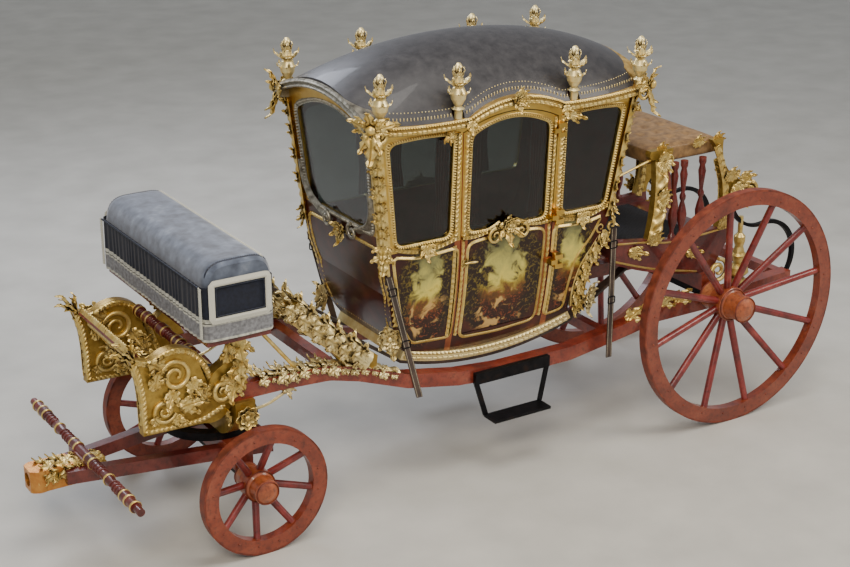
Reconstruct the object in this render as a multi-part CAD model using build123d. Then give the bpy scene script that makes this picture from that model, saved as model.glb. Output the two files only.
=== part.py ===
from build123d import *
import math
import os

# A horse-drawn state coach: a hung body on two perches, small steered front wheels,
# large rear wheels, a coachman's seat with its hammercloth and a footmen's stand behind.
# Millimetres. X points forward, Y to the coach's left and Z up, with the floor at Z 0.

os.makedirs("parts", exist_ok=True)

# A length past every side of the coach, for cuts that run right through
beyond = 3000

# Wheels and axles
wheelbase = 3566
rear_wheel_radius = 830
front_wheel_radius = 402
rear_track = 1636
front_track = 1476
rim_width = 64
tyre_thickness = 12
rear_felloe_depth = 92
front_felloe_depth = 82
rear_spokes = 12
front_spokes = 8
rear_first_spoke = 10
front_first_spoke = 34
rear_spoke_radius = 23
front_spoke_radius = 21
wheel_dish = 100
nave_grip = 20
axle_bar = 60
arm_radius = 28
arm_clearance = 0.3
arm_end_gap = 3
running_gap = 0.5

# Fore-carriage
bed_length = 120
front_bed_top = 560
ring_radius = 300
ring_width = 70
ring_thickness = 25
kingpin_radius = 22
kingpin_clearance = 0.3
futchell_width = 70
futchell_height = 80
futchell_rear_spread = 330
futchell_tip_spread = 85
socket_reach = 1170
socket_length = 260
pole_radius = 42
socket_wall = 34
splinter_place = 817
splinter_half_length = 860
splinter_radius = 36
trace_pin_radius = 24
trace_pin_length = 70
transom_length = 130
transom_overhang = 30

# Perches
perch_y = 450
perch_width = 92
perch_depth = 95
perch_front_top = 985
perch_middle_top = 684
perch_tail = 790
perch_bend_radius = 150
cross_timber_length = 70

# Body
wall = 36
pane = 6
waist_z = 1600
waist_half_width = 500
eaves_z = 2400
eaves_half_width = 545
bottom_half_width = 392
body_bottom_z = 870
turn_under_z = 1235
turn_under_half_width = 466
front_waist_x = 820
rear_waist_x = -905
front_eaves_x = 905
rear_eaves_x = -1045
front_foot_x = 625
rear_foot_x = -650
foot_z = 900
rocker_x = -30
rocker_dip = 65
door_front_x = 270
door_rear_x = -430
door_bottom_z = 925
door_gap = 6
door_bevel = 0.27
door_head = 45
door_side_gap = 8
hinge_y = 552
hinge_radius = 13
hinge_pin_radius = 6
hinge_length = 30
hinge_leaf_depth = 170
hinge_leaf_width = 45
hinge_heights = (1340, 1640, 2210)
floor_edge_z = 950
cornice_side_overhang = 55
cornice_width = 95
cornice_depth = 55
cornice_front_overhang = 60
cornice_rear_overhang = 65
crown_z = 2782
roof_thickness = 24
finial_setback = 28
finial_top_z = 2700
finial_height = 300
finial_radius = 50
finial_collar = 40
finial_gap = 0.5
bench_top_z = 1230
bench_board = 28
bench_front_x = 330
bench_rear_x = -300
cushion_height = 90
cushion_half_width = 405
cushion_overhang = 10
front_cushion_x = 695
rear_cushion_x = -640
sill_depth = 60
sill_end = 25

# Leather braces and straps
brace_in_y = 335
brace_width = 66
brace_thickness = 22
front_brace_x = 1400
front_brace_z = 1372
rear_brace_x = -1190
rear_brace_z = 1140
brace_pin_radius = 26
standard_thickness = 76
strap_thickness = 8
strap_width = 44
strap_top_z = 1460
front_strap_x = 786
front_strap_foot = (567, 610)
rear_strap_x = -935
rear_strap_foot = (-935, 540)

# Steps
step_out_y = 650
step_z = 380
step_iron = 34

# Footmen's stand
rear_bed_top = 980
stand_in_y = 420
stand_thickness = 50
stand_top_z = 1930
stand_top_thickness = 130
stand_front_x = -1265
stand_rear_x = -1870
side_board_z = 1268
board_front_x = -965
tail_post_reach = 230
scroll_iron_z = 1300
scroll_iron_depth = 24
scroll_iron_width = 30

# Coachman's seat
seat_front_x = 2110
seat_rear_x = 1675
seat_half_width = 740
seat_bottom_z = 1400
seat_top_z = 1858
seat_board_thickness = 30
console_thickness = 80
seat_stay_reach = 285
stay_radius = 8

# Footboard
footboard_half_width = 405
footboard_thickness = 32
bracket_thickness = 65
foot_rail_x = 2050
foot_rail_z = 1235

# What follows from the eaves: the cornice round them and the vases that stand on it.
cornice_half_width = eaves_half_width + cornice_side_overhang
cornice_front_x = front_eaves_x + cornice_front_overhang
cornice_rear_x = rear_eaves_x - cornice_rear_overhang
finial_y = cornice_half_width - finial_setback
finial_places = (cornice_front_x - 88, door_front_x + 70, door_rear_x - 83, cornice_rear_x + 79)

# The origin lies on the floor below the middle of the coach's whole length.
front_axle_x = wheelbase / 2
rear_axle_x = -wheelbase / 2
tip_x = front_axle_x + socket_reach
tail_x = rear_axle_x - rear_wheel_radius
origin_x = (tip_x + tail_x) / 2
tail_post_x = stand_rear_x - tail_post_reach


# Drawing and shaping
def outline(start, *moves):
    """A closed face. A pair is a line to that point, four numbers an arc through one point to another."""
    edges = []
    here = start
    for move in moves:
        there = move[-2:]
        if len(move) == 4:
            edges.append(ThreePointArc(here, move[:2], there))
        else:
            edges.append(Line(here, there))
        here = there
    if math.dist(here, start) > 0.001:
        edges.append(Line(here, start))
    return make_face(edges)


def along_y(face, y_low, y_high):
    """A face drawn in X and Z, made solid between two places along Y."""
    plane = Plane(origin=(0, y_high, 0), x_dir=(1, 0, 0), z_dir=(0, -1, 0))
    return extrude(plane * face, amount=y_high - y_low)


def along_x(face, x_low, x_high):
    """A face drawn in Y and Z, made solid between two places along X."""
    plane = Plane(origin=(x_low, 0, 0), x_dir=(0, 1, 0), z_dir=(1, 0, 0))
    return extrude(plane * face, amount=x_high - x_low)


def along_z(face, z_low, z_high):
    """A face drawn in X and Y, made solid between two heights."""
    return extrude(Plane(origin=(0, 0, z_low)) * face, amount=z_high - z_low)


def block(x_low, x_high, y_low, y_high, z_low, z_high):
    """A plain block between six planes."""
    middle = ((x_low + x_high) / 2, (y_low + y_high) / 2, (z_low + z_high) / 2)
    return Pos(*middle) * Box(x_high - x_low, y_high - y_low, z_high - z_low)


def turned(rows):
    """A solid turned about the Y axis, from rows of place along Y and radius."""
    points = [(0, rows[0][0])]
    points += [(radius, place) for place, radius in rows]
    points += [(0, rows[-1][0])]
    return revolve(make_face(Polyline(*points, close=True)), Axis.Y)


def upright(rows):
    """A solid turned about the Z axis, from rows of height and radius."""
    return Rot(90, 0, 0) * turned(rows)


def rod(start, end, radius, end_radius=None):
    """A round bar, straight or tapered, from one point to another."""
    run = Vector(*end) - Vector(*start)
    place = Plane(origin=start, z_dir=run)
    align = (Align.CENTER, Align.CENTER, Align.MIN)
    if end_radius is None or end_radius == radius:
        return place * Cylinder(radius, run.length, align=align)
    return place * Cone(radius, end_radius, run.length, align=align)


def bar(start, end, width, thickness, width_dir=(0, 1, 0)):
    """A flat bar from one point to another, its width along width_dir."""
    run = Vector(*end) - Vector(*start)
    place = Plane(origin=start, x_dir=width_dir, z_dir=run)
    align = (Align.CENTER, Align.CENTER, Align.MIN)
    return place * Box(width, thickness, run.length, align=align)


def both_sides(solid):
    """The left piece and its mirror image on the right, as two solids."""
    return solid + mirror(solid, Plane.XZ)


nodes = {}

# Perches: two long curved timbers that carry everything.
# Rows of place along X and height of the top edge.
perch_top = [
    (front_axle_x + 60, perch_front_top),
    (front_axle_x - 283, perch_front_top),
    (front_axle_x - 583, perch_front_top - 16),
    (front_axle_x - 783, perch_front_top - 70),
    (650, perch_middle_top + 100),
    (270, perch_middle_top + 28),
    (-60, perch_middle_top),
    (-620, perch_middle_top),
    (rear_axle_x + 693, 752),
    (rear_axle_x + 420, rear_wheel_radius - axle_bar / 2),
    (rear_axle_x - 120, rear_wheel_radius - axle_bar / 2),
    (rear_axle_x - perch_tail, rear_wheel_radius + 10),
]
perch_bottom = [(x, z - perch_depth) for x, z in reversed(perch_top)]
perch_face = make_face(Polyline(*perch_top, *perch_bottom, close=True))
bends = [corner for corner in perch_face.vertices()
         if perch_top[-1][0] + 5 < corner.X < perch_top[0][0] - 5]
perch_face = fillet(bends, perch_bend_radius)
perch = along_y(perch_face, perch_y - perch_width / 2, perch_y + perch_width / 2)
nodes["perches"] = both_sides(perch)
perch_front_bottom = perch_front_top - perch_depth


# Wheels, drawn with the rim's middle plane at Y 0 and the outside towards +Y.
# Nave rows: place along Y and radius, from the inside to the outside.
rear_nave = [(-300, 78), (-285, 92), (-180, 96), (-165, 118), (-60, 118), (-45, 96),
             (40, 84), (52, 92), (66, 92), (84, 60), (96, 34)]
front_nave = [(-250, 66), (-238, 78), (-160, 82), (-146, 98), (-58, 98), (-44, 80),
              (14, 70), (24, 78), (36, 78), (52, 50), (62, 28)]


def nave_reach(rows):
    """The inner end and the outer end of the axle arm's bore."""
    return rows[0][0], rows[-3][0]


def wooden_wheel(radius, felloe_depth, spoke_count, first_angle, spoke_radius, nave):
    """Felloes, spokes and nave, with the bore for the axle arm."""
    outer = radius - tyre_thickness
    inner = outer - felloe_depth
    ring = Cylinder(outer, rim_width) - Cylinder(inner, rim_width + 2)
    wheel = Rot(90, 0, 0) * ring + turned(nave)
    root = max(row_radius for place, row_radius in nave) - nave_grip
    for index in range(spoke_count):
        angle = math.radians(first_angle + 360 * index / spoke_count)
        start = (root * math.sin(angle), -wheel_dish, root * math.cos(angle))
        end = ((inner + 15) * math.sin(angle), 0, (inner + 15) * math.cos(angle))
        wheel += rod(start, end, spoke_radius * 1.1, spoke_radius)
    bore_in, bore_out = nave_reach(nave)
    bore = rod((0, bore_in - 1, 0), (0, bore_out, 0), arm_radius + arm_clearance)
    return wheel - bore


def iron_tyre(radius):
    """The iron hoop round the felloes."""
    ring = Cylinder(radius, rim_width) - Cylinder(radius - tyre_thickness, rim_width + 2)
    return Rot(90, 0, 0) * ring


rear_wheel = wooden_wheel(rear_wheel_radius, rear_felloe_depth, rear_spokes,
                          rear_first_spoke, rear_spoke_radius, rear_nave)
front_wheel = wooden_wheel(front_wheel_radius, front_felloe_depth, front_spokes,
                           front_first_spoke, front_spoke_radius, front_nave)
# Columns: name, wood, radius, axle place along X, half the track.
wheel_rows = [
    ("rear", rear_wheel, rear_wheel_radius, rear_axle_x, rear_track / 2),
    ("front", front_wheel, front_wheel_radius, front_axle_x, front_track / 2),
]
for name, wood, radius, axle_x, half_track in wheel_rows:
    place = Pos(axle_x, half_track, radius)
    nodes[name + "_wheel_left"] = place * wood
    nodes[name + "_tyre_left"] = place * iron_tyre(radius)
    for piece in ("wheel", "tyre"):
        left = nodes[name + "_" + piece + "_left"]
        nodes[name + "_" + piece + "_right"] = mirror(left, Plane.XZ)


# Iron axles: a square bar between the naves, with a round arm in each nave.
def iron_axle(half_track, nave):
    """An axle drawn about the origin, along Y."""
    bore_in, bore_out = nave_reach(nave)
    shoulder = half_track + bore_in - running_gap
    axle = Box(axle_bar, 2 * shoulder, axle_bar)
    arm_end = half_track + bore_out - arm_end_gap
    return axle + rod((0, -arm_end, 0), (0, arm_end, 0), arm_radius)


nodes["rear_axle"] = Pos(rear_axle_x, 0, rear_wheel_radius) * iron_axle(rear_track / 2, rear_nave)
nodes["front_axle"] = Pos(front_axle_x, 0, front_wheel_radius) * iron_axle(front_track / 2, front_nave)

# Fore-carriage: bed, futchells, turntable ring, splinter bar and pole socket.
front_axle_top = front_wheel_radius + axle_bar / 2
futchell_top = front_axle_top + futchell_height
futchell_rear_x = front_axle_x - 250
futchell_front_x = tip_x - socket_length + 60


def futchell_centre(x):
    """Distance of a futchell's middle from the centre line at a place along X."""
    share = (x - futchell_rear_x) / (futchell_front_x - futchell_rear_x)
    return futchell_rear_spread + (futchell_tip_spread - futchell_rear_spread) * share


half = futchell_width / 2
futchell_face = outline(
    (futchell_rear_x, futchell_centre(futchell_rear_x) - half),
    (futchell_front_x, futchell_centre(futchell_front_x) - half),
    (futchell_front_x, futchell_centre(futchell_front_x) + half),
    (futchell_rear_x, futchell_centre(futchell_rear_x) + half),
)
futchell = along_z(futchell_face, front_axle_top, futchell_top)
nodes["futchells"] = both_sides(futchell)

bed_half_width = front_track / 2 + front_nave[0][0] - 12
front_bed = block(front_axle_x - bed_length / 2, front_axle_x + bed_length / 2,
                  -bed_half_width, bed_half_width, front_axle_top, front_bed_top)
bore_radius = kingpin_radius + kingpin_clearance
kingpin_bore = Pos(front_axle_x, 0, 0) * upright([(0, bore_radius), (beyond, bore_radius)])
nodes["front_axle_bed"] = front_bed - futchell - mirror(futchell, Plane.XZ) - kingpin_bore
nodes["front_axle"] = nodes["front_axle"] - kingpin_bore


def plate_ring(z_low, arm_width):
    """A turntable ring with one arm along X that holds the kingpin's boss."""
    ring = Cylinder(ring_radius, ring_thickness) - Cylinder(ring_radius - ring_width, ring_thickness + 2)
    cross = Box(2 * ring_radius - ring_width, arm_width, ring_thickness)
    boss = Cylinder(2.6 * kingpin_radius, ring_thickness)
    plate = Pos(front_axle_x, 0, z_low + ring_thickness / 2) * (ring + cross + boss)
    return plate - kingpin_bore


nodes["lower_ring"] = plate_ring(front_bed_top, ring_width)
ring_split_z = front_bed_top + ring_thickness + running_gap
nodes["upper_ring"] = plate_ring(ring_split_z, ring_width)
transom_bottom = ring_split_z + ring_thickness

# Struts from the futchells' rear ends up to the ring.
strut_place = futchell_centre(futchell_rear_x + 60)
ring_struts = block(futchell_rear_x + 20, futchell_rear_x + 100, -strut_place, strut_place,
                    futchell_top, front_bed_top)
nodes["fore_sway_bar"] = ring_struts

socket_x = tip_x - socket_length
socket_half = pole_radius + socket_wall
socket_z = (front_axle_top + futchell_top) / 2
socket_nose_x = tip_x - 0.35 * socket_length
socket_face = outline(
    (socket_x, socket_half),
    (socket_nose_x, socket_half),
    (tip_x - 0.08 * socket_length, 0.92 * socket_half, tip_x, 0.66 * socket_half),
    (tip_x, -0.66 * socket_half),
    (tip_x - 0.08 * socket_length, -0.92 * socket_half, socket_nose_x, -socket_half),
    (socket_x, -socket_half),
)
socket = along_z(socket_face, socket_z - 0.9 * socket_half, socket_z + 0.9 * socket_half)
socket -= rod((socket_x - 1, 0, socket_z), (tip_x + 1, 0, socket_z), pole_radius)
nodes["pole_socket"] = socket - futchell - mirror(futchell, Plane.XZ)

splinter_x = front_axle_x + splinter_place
splinter_z = futchell_top + splinter_radius
# Rows: share of the half length, share of the radius.
splinter_turning = [(0, 0.8), (0.08, 0.8), (0.1, 1), (0.2, 1), (0.22, 0.8), (0.42, 0.72), (0.5, 0.95),
                    (0.58, 0.72), (0.76, 0.78), (0.78, 1), (0.88, 1), (0.9, 0.8)]
turned_length = splinter_half_length - trace_pin_length
splinter_rows = [(place * turned_length, share * splinter_radius) for place, share in splinter_turning]
splinter_rows += [(turned_length, 0.95 * splinter_radius), (turned_length, trace_pin_radius),
                  (splinter_half_length, trace_pin_radius)]
splinter_rows = [(-place, row_radius) for place, row_radius in reversed(splinter_rows[1:])] + splinter_rows
splinter_bar = Pos(splinter_x, 0, splinter_z) * turned(splinter_rows)
seat_pad = block(splinter_x - 40, splinter_x + 40, -(futchell_centre(splinter_x) + half),
                 futchell_centre(splinter_x) + half, futchell_top, splinter_z)
nodes["splinter_bar"] = splinter_bar + seat_pad

# Kingpin through the transom, rings, bed and axle.
kingpin_top = perch_front_bottom + 30
nodes["kingpin"] = Pos(front_axle_x, 0, 0) * upright([
    (front_wheel_radius - axle_bar / 2 - 30, kingpin_radius),
    (perch_front_bottom, kingpin_radius),
    (perch_front_bottom, 1.9 * kingpin_radius),
    (kingpin_top, 1.9 * kingpin_radius),
])

# Front transom: the beam on the upper ring that carries the perches' front ends.
transom_half_width = perch_y + perch_width / 2 + transom_overhang
transom_face = outline(
    (-transom_half_width, perch_front_bottom),
    (transom_half_width, perch_front_bottom),
    (transom_half_width, perch_front_bottom - 90),
    (0.8 * transom_half_width, transom_bottom + 60, ring_radius, transom_bottom),
    (-ring_radius, transom_bottom),
    (-0.8 * transom_half_width, transom_bottom + 60, -transom_half_width, perch_front_bottom - 90),
)
transom = along_x(transom_face, front_axle_x - transom_length / 2, front_axle_x + transom_length / 2)
fixed_bore = Pos(front_axle_x, 0, 0) * upright([(0, kingpin_radius), (beyond, kingpin_radius)])
nodes["front_transom"] = transom - fixed_bore

# Coachman's seat: two consoles on the perches' tips, a seat board and the hammercloth.
console_x = front_axle_x + 60
seat_board_z = seat_bottom_z - seat_board_thickness
console_face = outline(
    (console_x - 100, perch_front_top),
    (console_x - 60, 1180, console_x - 140, seat_board_z),
    (console_x + 80, seat_board_z),
    (console_x, 1260, console_x + 70, 1130),
    (console_x + 150, 990, console_x + 60, perch_front_bottom),
    (console_x, perch_front_bottom),
    (console_x, perch_front_top),
)
console = along_y(console_face, perch_y - console_thickness / 2, perch_y + console_thickness / 2)
nodes["seat_consoles"] = both_sides(console)
board_inset = 20
nodes["seat_board"] = block(seat_rear_x + board_inset, seat_front_x - board_inset,
                            board_inset - seat_half_width, seat_half_width - board_inset,
                            seat_board_z, seat_bottom_z)
cloth_height = seat_top_z - seat_bottom_z
cloth_face = outline(
    (seat_rear_x, seat_bottom_z),
    (seat_front_x, seat_bottom_z),
    (seat_front_x, seat_top_z - 0.32 * cloth_height),
    (seat_front_x - 40, seat_top_z - 0.12 * cloth_height, seat_front_x - 130, seat_top_z - 0.05 * cloth_height),
    ((seat_front_x + seat_rear_x) / 2, seat_top_z, seat_rear_x + 90, seat_top_z - 0.02 * cloth_height),
    (seat_rear_x + 20, seat_top_z - 0.08 * cloth_height, seat_rear_x, seat_top_z - 0.25 * cloth_height),
)
nodes["hammercloth"] = along_y(cloth_face, -seat_half_width, seat_half_width)

# Footboard between its two carved side brackets, which also hold the turned rail.
toe_x = front_axle_x + 677
toe_z = 1290
heel_x = front_axle_x + 360
heel_z = perch_front_bottom - 8
footboard_face = outline(
    (toe_x - footboard_thickness, toe_z - 22),
    (toe_x - 2 * footboard_thickness, toe_z + 4),
    (heel_x - footboard_thickness, heel_z + 22),
    (heel_x, heel_z),
)
nodes["footboard"] = along_y(footboard_face, -footboard_half_width, footboard_half_width)
bracket_face = outline(
    (toe_x, toe_z),
    (toe_x - 62, 1060, toe_x - 58, 800),
    (front_axle_x + 240, 790),
    (front_axle_x + 120, 800, console_x + 5, 860),
    (console_x + 5, perch_front_bottom),
    (console_x + 60, perch_front_bottom),
    (foot_rail_x - 50, 1060, foot_rail_x, foot_rail_z + 10),
    (foot_rail_x + 110, foot_rail_z + 62, toe_x - 130, toe_z - 40),
)
bracket = along_y(bracket_face, footboard_half_width, footboard_half_width + bracket_thickness)
bracket = bracket - console - transom
nodes["footboard_brackets"] = both_sides(bracket)
# Rows: share of the half length, radius.
rail_turning = [(0.08, 40), (0.12, 24), (0.46, 26), (0.5, 38), (0.6, 38), (0.64, 24), (0.82, 26),
                (0.86, 38), (0.96, 38), (1, 22)]
rail_rows = [(share * footboard_half_width, radius) for share, radius in rail_turning]
rail_rows = [(-place, radius) for place, radius in reversed(rail_rows)] + rail_rows
nodes["foot_rail"] = Pos(foot_rail_x, 0, foot_rail_z - 20) * turned(rail_rows)

# Front standards: carved posts on the perches that hold the braces' heads.
standard_face = outline(
    (900, 700),
    (1180, 1050, front_brace_x + 72, front_brace_z + 32),
    (front_brace_x - 6, front_brace_z + 50),
    (1080, 1120, 860, 960),
)
standard_in_y = perch_y - standard_thickness / 2
standard = along_y(standard_face, standard_in_y, standard_in_y + standard_thickness) - perch
standard = max(standard.solids(), key=lambda solid: solid.center().Z)
nodes["front_standards"] = both_sides(standard)

# Body. The side walls bend to one section and the end walls to one profile.
# The underside of the cornice is a wave: corner, pillar, door arch, pillar, corner.
corner_z = eaves_z - 20
pillar_z = eaves_z - 55
arch_z = eaves_z + 30
front_arch_z = eaves_z + 125
door_middle_x = (door_front_x + door_rear_x) / 2
high = eaves_z + 500
sill_z = waist_z + 40
spring_z = eaves_z - 115


def under_side_wave(lift):
    """All that lies below the wave along the sides, the wave raised by lift."""
    face = outline(
        (cornice_rear_x, 0),
        (cornice_front_x, 0),
        (cornice_front_x, corner_z + lift),
        ((cornice_front_x + door_front_x) / 2, pillar_z + 2 + lift, door_front_x, pillar_z + lift),
        (door_middle_x, arch_z + lift, door_rear_x, pillar_z + lift),
        ((cornice_rear_x + door_rear_x) / 2, pillar_z + 2 + lift, cornice_rear_x, corner_z + lift),
    )
    return along_y(face, -beyond, beyond)


def under_end_arch(lift):
    """All that lies below the arch over the end walls, the arch raised by lift."""
    face = outline(
        (-cornice_half_width, 0),
        (cornice_half_width, 0),
        (cornice_half_width, corner_z + lift),
        (0, front_arch_z + lift, -cornice_half_width, corner_z + lift),
    )
    return along_x(face, -beyond, beyond)


# Points that the end walls' curved feet pass through, x and z.
front_curve = [(720, 1080), (760, 1300), (800, 1440)]
rear_curve = [(-840, 1430), (-720, 1290), (-662, 1130)]


def end_face(inset):
    """The body's side view, up past the roof, its end walls moved in by inset."""
    rise = (high - waist_z) / (eaves_z - waist_z)
    front = [(x - inset, z) for x, z in front_curve]
    rear = [(x + inset, z) for x, z in rear_curve]
    return outline(
        (rear_foot_x + inset, foot_z + inset),
        (rocker_x, body_bottom_z - rocker_dip + inset, front_foot_x - inset, foot_z + inset),
        (*front[0], *front[1]),
        (*front[2], front_waist_x - inset, waist_z),
        (front_waist_x - inset + (front_eaves_x - front_waist_x) * rise, high),
        (rear_waist_x + inset + (rear_eaves_x - rear_waist_x) * rise, high),
        (rear_waist_x + inset, waist_z),
        (*rear[0], *rear[1]),
        (*rear[2], rear_foot_x + inset, foot_z + inset),
    )


def side_face(inset):
    """The body's end view, up past the roof, its side walls moved in by inset."""
    lean = (eaves_half_width - waist_half_width) / (eaves_z - waist_z) * (high - waist_z)
    top_half = waist_half_width + lean - inset
    waist_half = waist_half_width - inset
    turn_half = turn_under_half_width - inset
    low_half = bottom_half_width - inset
    under_z = body_bottom_z - 2 * rocker_dip
    return outline(
        (30 - low_half, under_z),
        (low_half - 30, under_z),
        (low_half, body_bottom_z),
        (turn_half, turn_under_z, waist_half, waist_z),
        (top_half, high),
        (-top_half, high),
        (-waist_half, waist_z),
        (-turn_half, turn_under_z, -low_half, body_bottom_z),
    )


def across(face):
    """A side view, made solid right across the coach."""
    return along_y(face, -beyond, beyond)


def lengthwise(face):
    """An end view, made solid along the whole coach."""
    return along_x(face, -beyond, beyond)


def slab(x_low, x_high, z_low, z_high):
    """A block right across the coach."""
    return block(x_low, x_high, -beyond, beyond, z_low, z_high)


ends_out = across(end_face(0))
ends_in = across(end_face(wall))
sides_out = lengthwise(side_face(0))
sides_in = lengthwise(side_face(wall))
pane_out = (wall - pane) / 2
pane_in = (wall + pane) / 2
left_half = block(-beyond, beyond, 0, beyond, 0, beyond)
room = ends_in & sides_in

# Window outlines. Columns: name, bottom rear x, bottom front x, top front x, top rear x,
# height of the head's ends, height of its crown.
window_rows = [
    ("front_quarter", door_front_x + 80, front_waist_x - 95, front_waist_x - 20, door_front_x + 75,
     spring_z, spring_z + 15),
    ("door", door_rear_x + 65, door_front_x - 62, door_front_x - 62, door_rear_x + 62,
     spring_z - 30, spring_z + 55),
    ("rear_quarter", rear_waist_x + 70, door_rear_x - 75, door_rear_x - 70, rear_waist_x - 30,
     spring_z, spring_z + 15),
]
window_corner = 55


def window_face(rear_low, front_low, front_high, rear_high, spring, crown):
    """A window with rounded corners and a slightly arched head."""
    face = outline(
        (rear_low, sill_z),
        (front_low, sill_z),
        (front_high, spring),
        ((front_high + rear_high) / 2, crown, rear_high, spring),
    )
    return fillet(face.vertices(), window_corner)


window_cuts = {}
for name, *sizes in window_rows:
    window_cuts[name] = along_y(window_face(*sizes), 0, beyond)

side_shell = (ends_out & sides_out & under_side_wave(0)) - sides_in
left_shell = side_shell & left_half


# Door: its front edge is bevelled, so that its turned-under foot clears the pillar as it opens.
def door_plan(gap):
    """The door's outline seen from above, cut back by a gap."""
    front_x = door_front_x - gap - waist_half_width * door_bevel
    return outline(
        (door_rear_x + gap, 0),
        (front_x, 0),
        (front_x + beyond * door_bevel, beyond),
        (door_rear_x + gap, beyond),
    )


def door_side(gap):
    """The door's outline seen from the side, cut back by a gap."""
    spring = pillar_z - door_head - gap
    return outline(
        (door_rear_x - 1, door_bottom_z + gap),
        (beyond, door_bottom_z + gap),
        (beyond, spring),
        (door_front_x, spring),
        (door_middle_x, arch_z - door_head - gap, door_rear_x, spring),
        (door_rear_x - 1, spring),
    )


door_space = along_z(door_plan(0), 0, beyond) & along_y(door_side(0), 0, beyond)
door_block = along_z(door_plan(door_gap), 0, beyond) & along_y(door_side(door_gap), 0, beyond)
door = (left_shell & door_block) - window_cuts["door"]
side = left_shell - door_space - window_cuts["front_quarter"] - window_cuts["rear_quarter"]

# Hinges: two knuckles with their pin on the rear pillar, and one between them on the door.
knuckle = Cylinder(hinge_radius, hinge_length)
pin = Cylinder(hinge_pin_radius, 3 * hinge_length)
pin_bore = Cylinder(hinge_pin_radius + arm_clearance, 2 * hinge_length)
half_length = hinge_length / 2
pillar_leaf = block(-hinge_leaf_width, 0, -hinge_leaf_depth, hinge_radius, -half_length, half_length)
door_leaf = block(0, hinge_leaf_width, -hinge_leaf_depth, hinge_radius, -half_length, half_length)
for z in hinge_heights:
    place = Pos(door_rear_x, hinge_y, z)
    for lift in (-hinge_length - running_gap, hinge_length + running_gap):
        side += place * Pos(0, 0, lift) * (knuckle + pillar_leaf) - sides_out
    side += place * pin
    door += (place * (knuckle + door_leaf - pin_bore)) - sides_out
nodes["body_side_left"] = side
nodes["body_side_right"] = mirror(side, Plane.XZ)
nodes["door_left"] = door
nodes["door_right"] = mirror(door, Plane.XZ)

pane_shell = (lengthwise(side_face(pane_out)) - lengthwise(side_face(pane_in))) & left_half
door_pane = pane_shell & window_cuts["door"]
nodes["door_glass_left"] = door_pane
nodes["door_glass_right"] = mirror(door_pane, Plane.XZ)
quarter_panes = (pane_shell & window_cuts["front_quarter"]) + (pane_shell & window_cuts["rear_quarter"])
nodes["quarter_glass"] = both_sides(quarter_panes)

# End walls between the side walls, and the curved floor between the end walls.
ends = (ends_out - ends_in) & sides_in
front_sill_half = 395
front_spring_half = 425
front_window_face = outline(
    (-front_sill_half, waist_z + 120),
    (front_sill_half, waist_z + 120),
    (front_spring_half, eaves_z - 80),
    (0, front_arch_z - 85, -front_spring_half, eaves_z - 80),
)
front_window = along_x(fillet(front_window_face.vertices(), window_corner), 0, beyond)
end_walls = ends & under_end_arch(0)
nodes["front_wall"] = (end_walls & slab(0, beyond, floor_edge_z, high)) - front_window
nodes["rear_wall"] = end_walls & slab(-beyond, 0, floor_edge_z, high)
front_pane = across(end_face(pane_out)) - across(end_face(pane_in))
nodes["front_glass"] = front_pane & front_window
nodes["floor"] = ends & slab(-beyond, beyond, 0, floor_edge_z)

# Benches: a front board and a seat board each, with a cushion on top.
bench_under_z = bench_top_z - bench_board
bench_front = slab(bench_front_x, bench_front_x + bench_board, 0, bench_top_z)
bench_front += slab(bench_front_x, beyond, bench_under_z, bench_top_z)
bench_rear = slab(bench_rear_x - bench_board, bench_rear_x, 0, bench_top_z)
bench_rear += slab(-beyond, bench_rear_x, bench_under_z, bench_top_z)
doorway = slab(door_rear_x, door_front_x + 20, 0, high)
beside_doors = doorway - lengthwise(side_face(wall + door_side_gap))
nodes["benches"] = (room & bench_front) + ((room & bench_rear) - beside_doors)
cushion_top_z = bench_top_z + cushion_height
front_cushion = block(bench_front_x - cushion_overhang, front_cushion_x, -cushion_half_width,
                      cushion_half_width, bench_top_z, cushion_top_z)
rear_cushion = block(rear_cushion_x, bench_rear_x + cushion_overhang, -cushion_half_width,
                     cushion_half_width, bench_top_z, cushion_top_z)
nodes["cushions"] = front_cushion + rear_cushion

# Sill frame: the gilded rocker below the floor and walls.
rocker_z = body_bottom_z - rocker_dip
sill_end_z = foot_z - 0.87 * sill_depth
sill_face = outline(
    (rear_foot_x, foot_z),
    (rocker_x, rocker_z, front_foot_x, foot_z),
    (front_foot_x + sill_end, sill_end_z),
    (rocker_x, rocker_z - sill_depth, rear_foot_x - sill_end, sill_end_z),
)
sill_in = brace_in_y - 5
sill_out = brace_in_y + brace_width + 2
sill_rail = along_y(sill_face, sill_in, sill_out)
sill_cross_length = 65
sill_ends = slab(front_foot_x - sill_cross_length, beyond, 0, beyond)
sill_ends += slab(-beyond, rear_foot_x + sill_cross_length, 0, beyond)
sill_cross = along_y(sill_face, -sill_in, sill_in) & sill_ends
nodes["sill_frame"] = both_sides(sill_rail) + sill_cross

# Cornice: four wavy rails joined at the corners, on top of the walls.
rail_in_y = cornice_half_width - cornice_width
along_sides = block(-beyond, beyond, rail_in_y, beyond, 0, beyond)
along_sides += mirror(along_sides, Plane.XZ)
along_ends = slab(cornice_front_x - cornice_width, beyond, 0, beyond)
along_ends += slab(-beyond, cornice_rear_x + cornice_width, 0, beyond)
cornice_block = block(cornice_rear_x, cornice_front_x, -cornice_half_width, cornice_half_width, 0, beyond)
side_rails = (under_side_wave(cornice_depth) - under_side_wave(0)) & along_sides
end_rails = (under_end_arch(cornice_depth) - under_end_arch(0)) & along_ends
cornice = (side_rails + end_rails) & cornice_block
nodes["cornice"] = cornice
for name in ("front_wall", "rear_wall"):
    nodes[name] = nodes[name] - cornice

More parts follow.
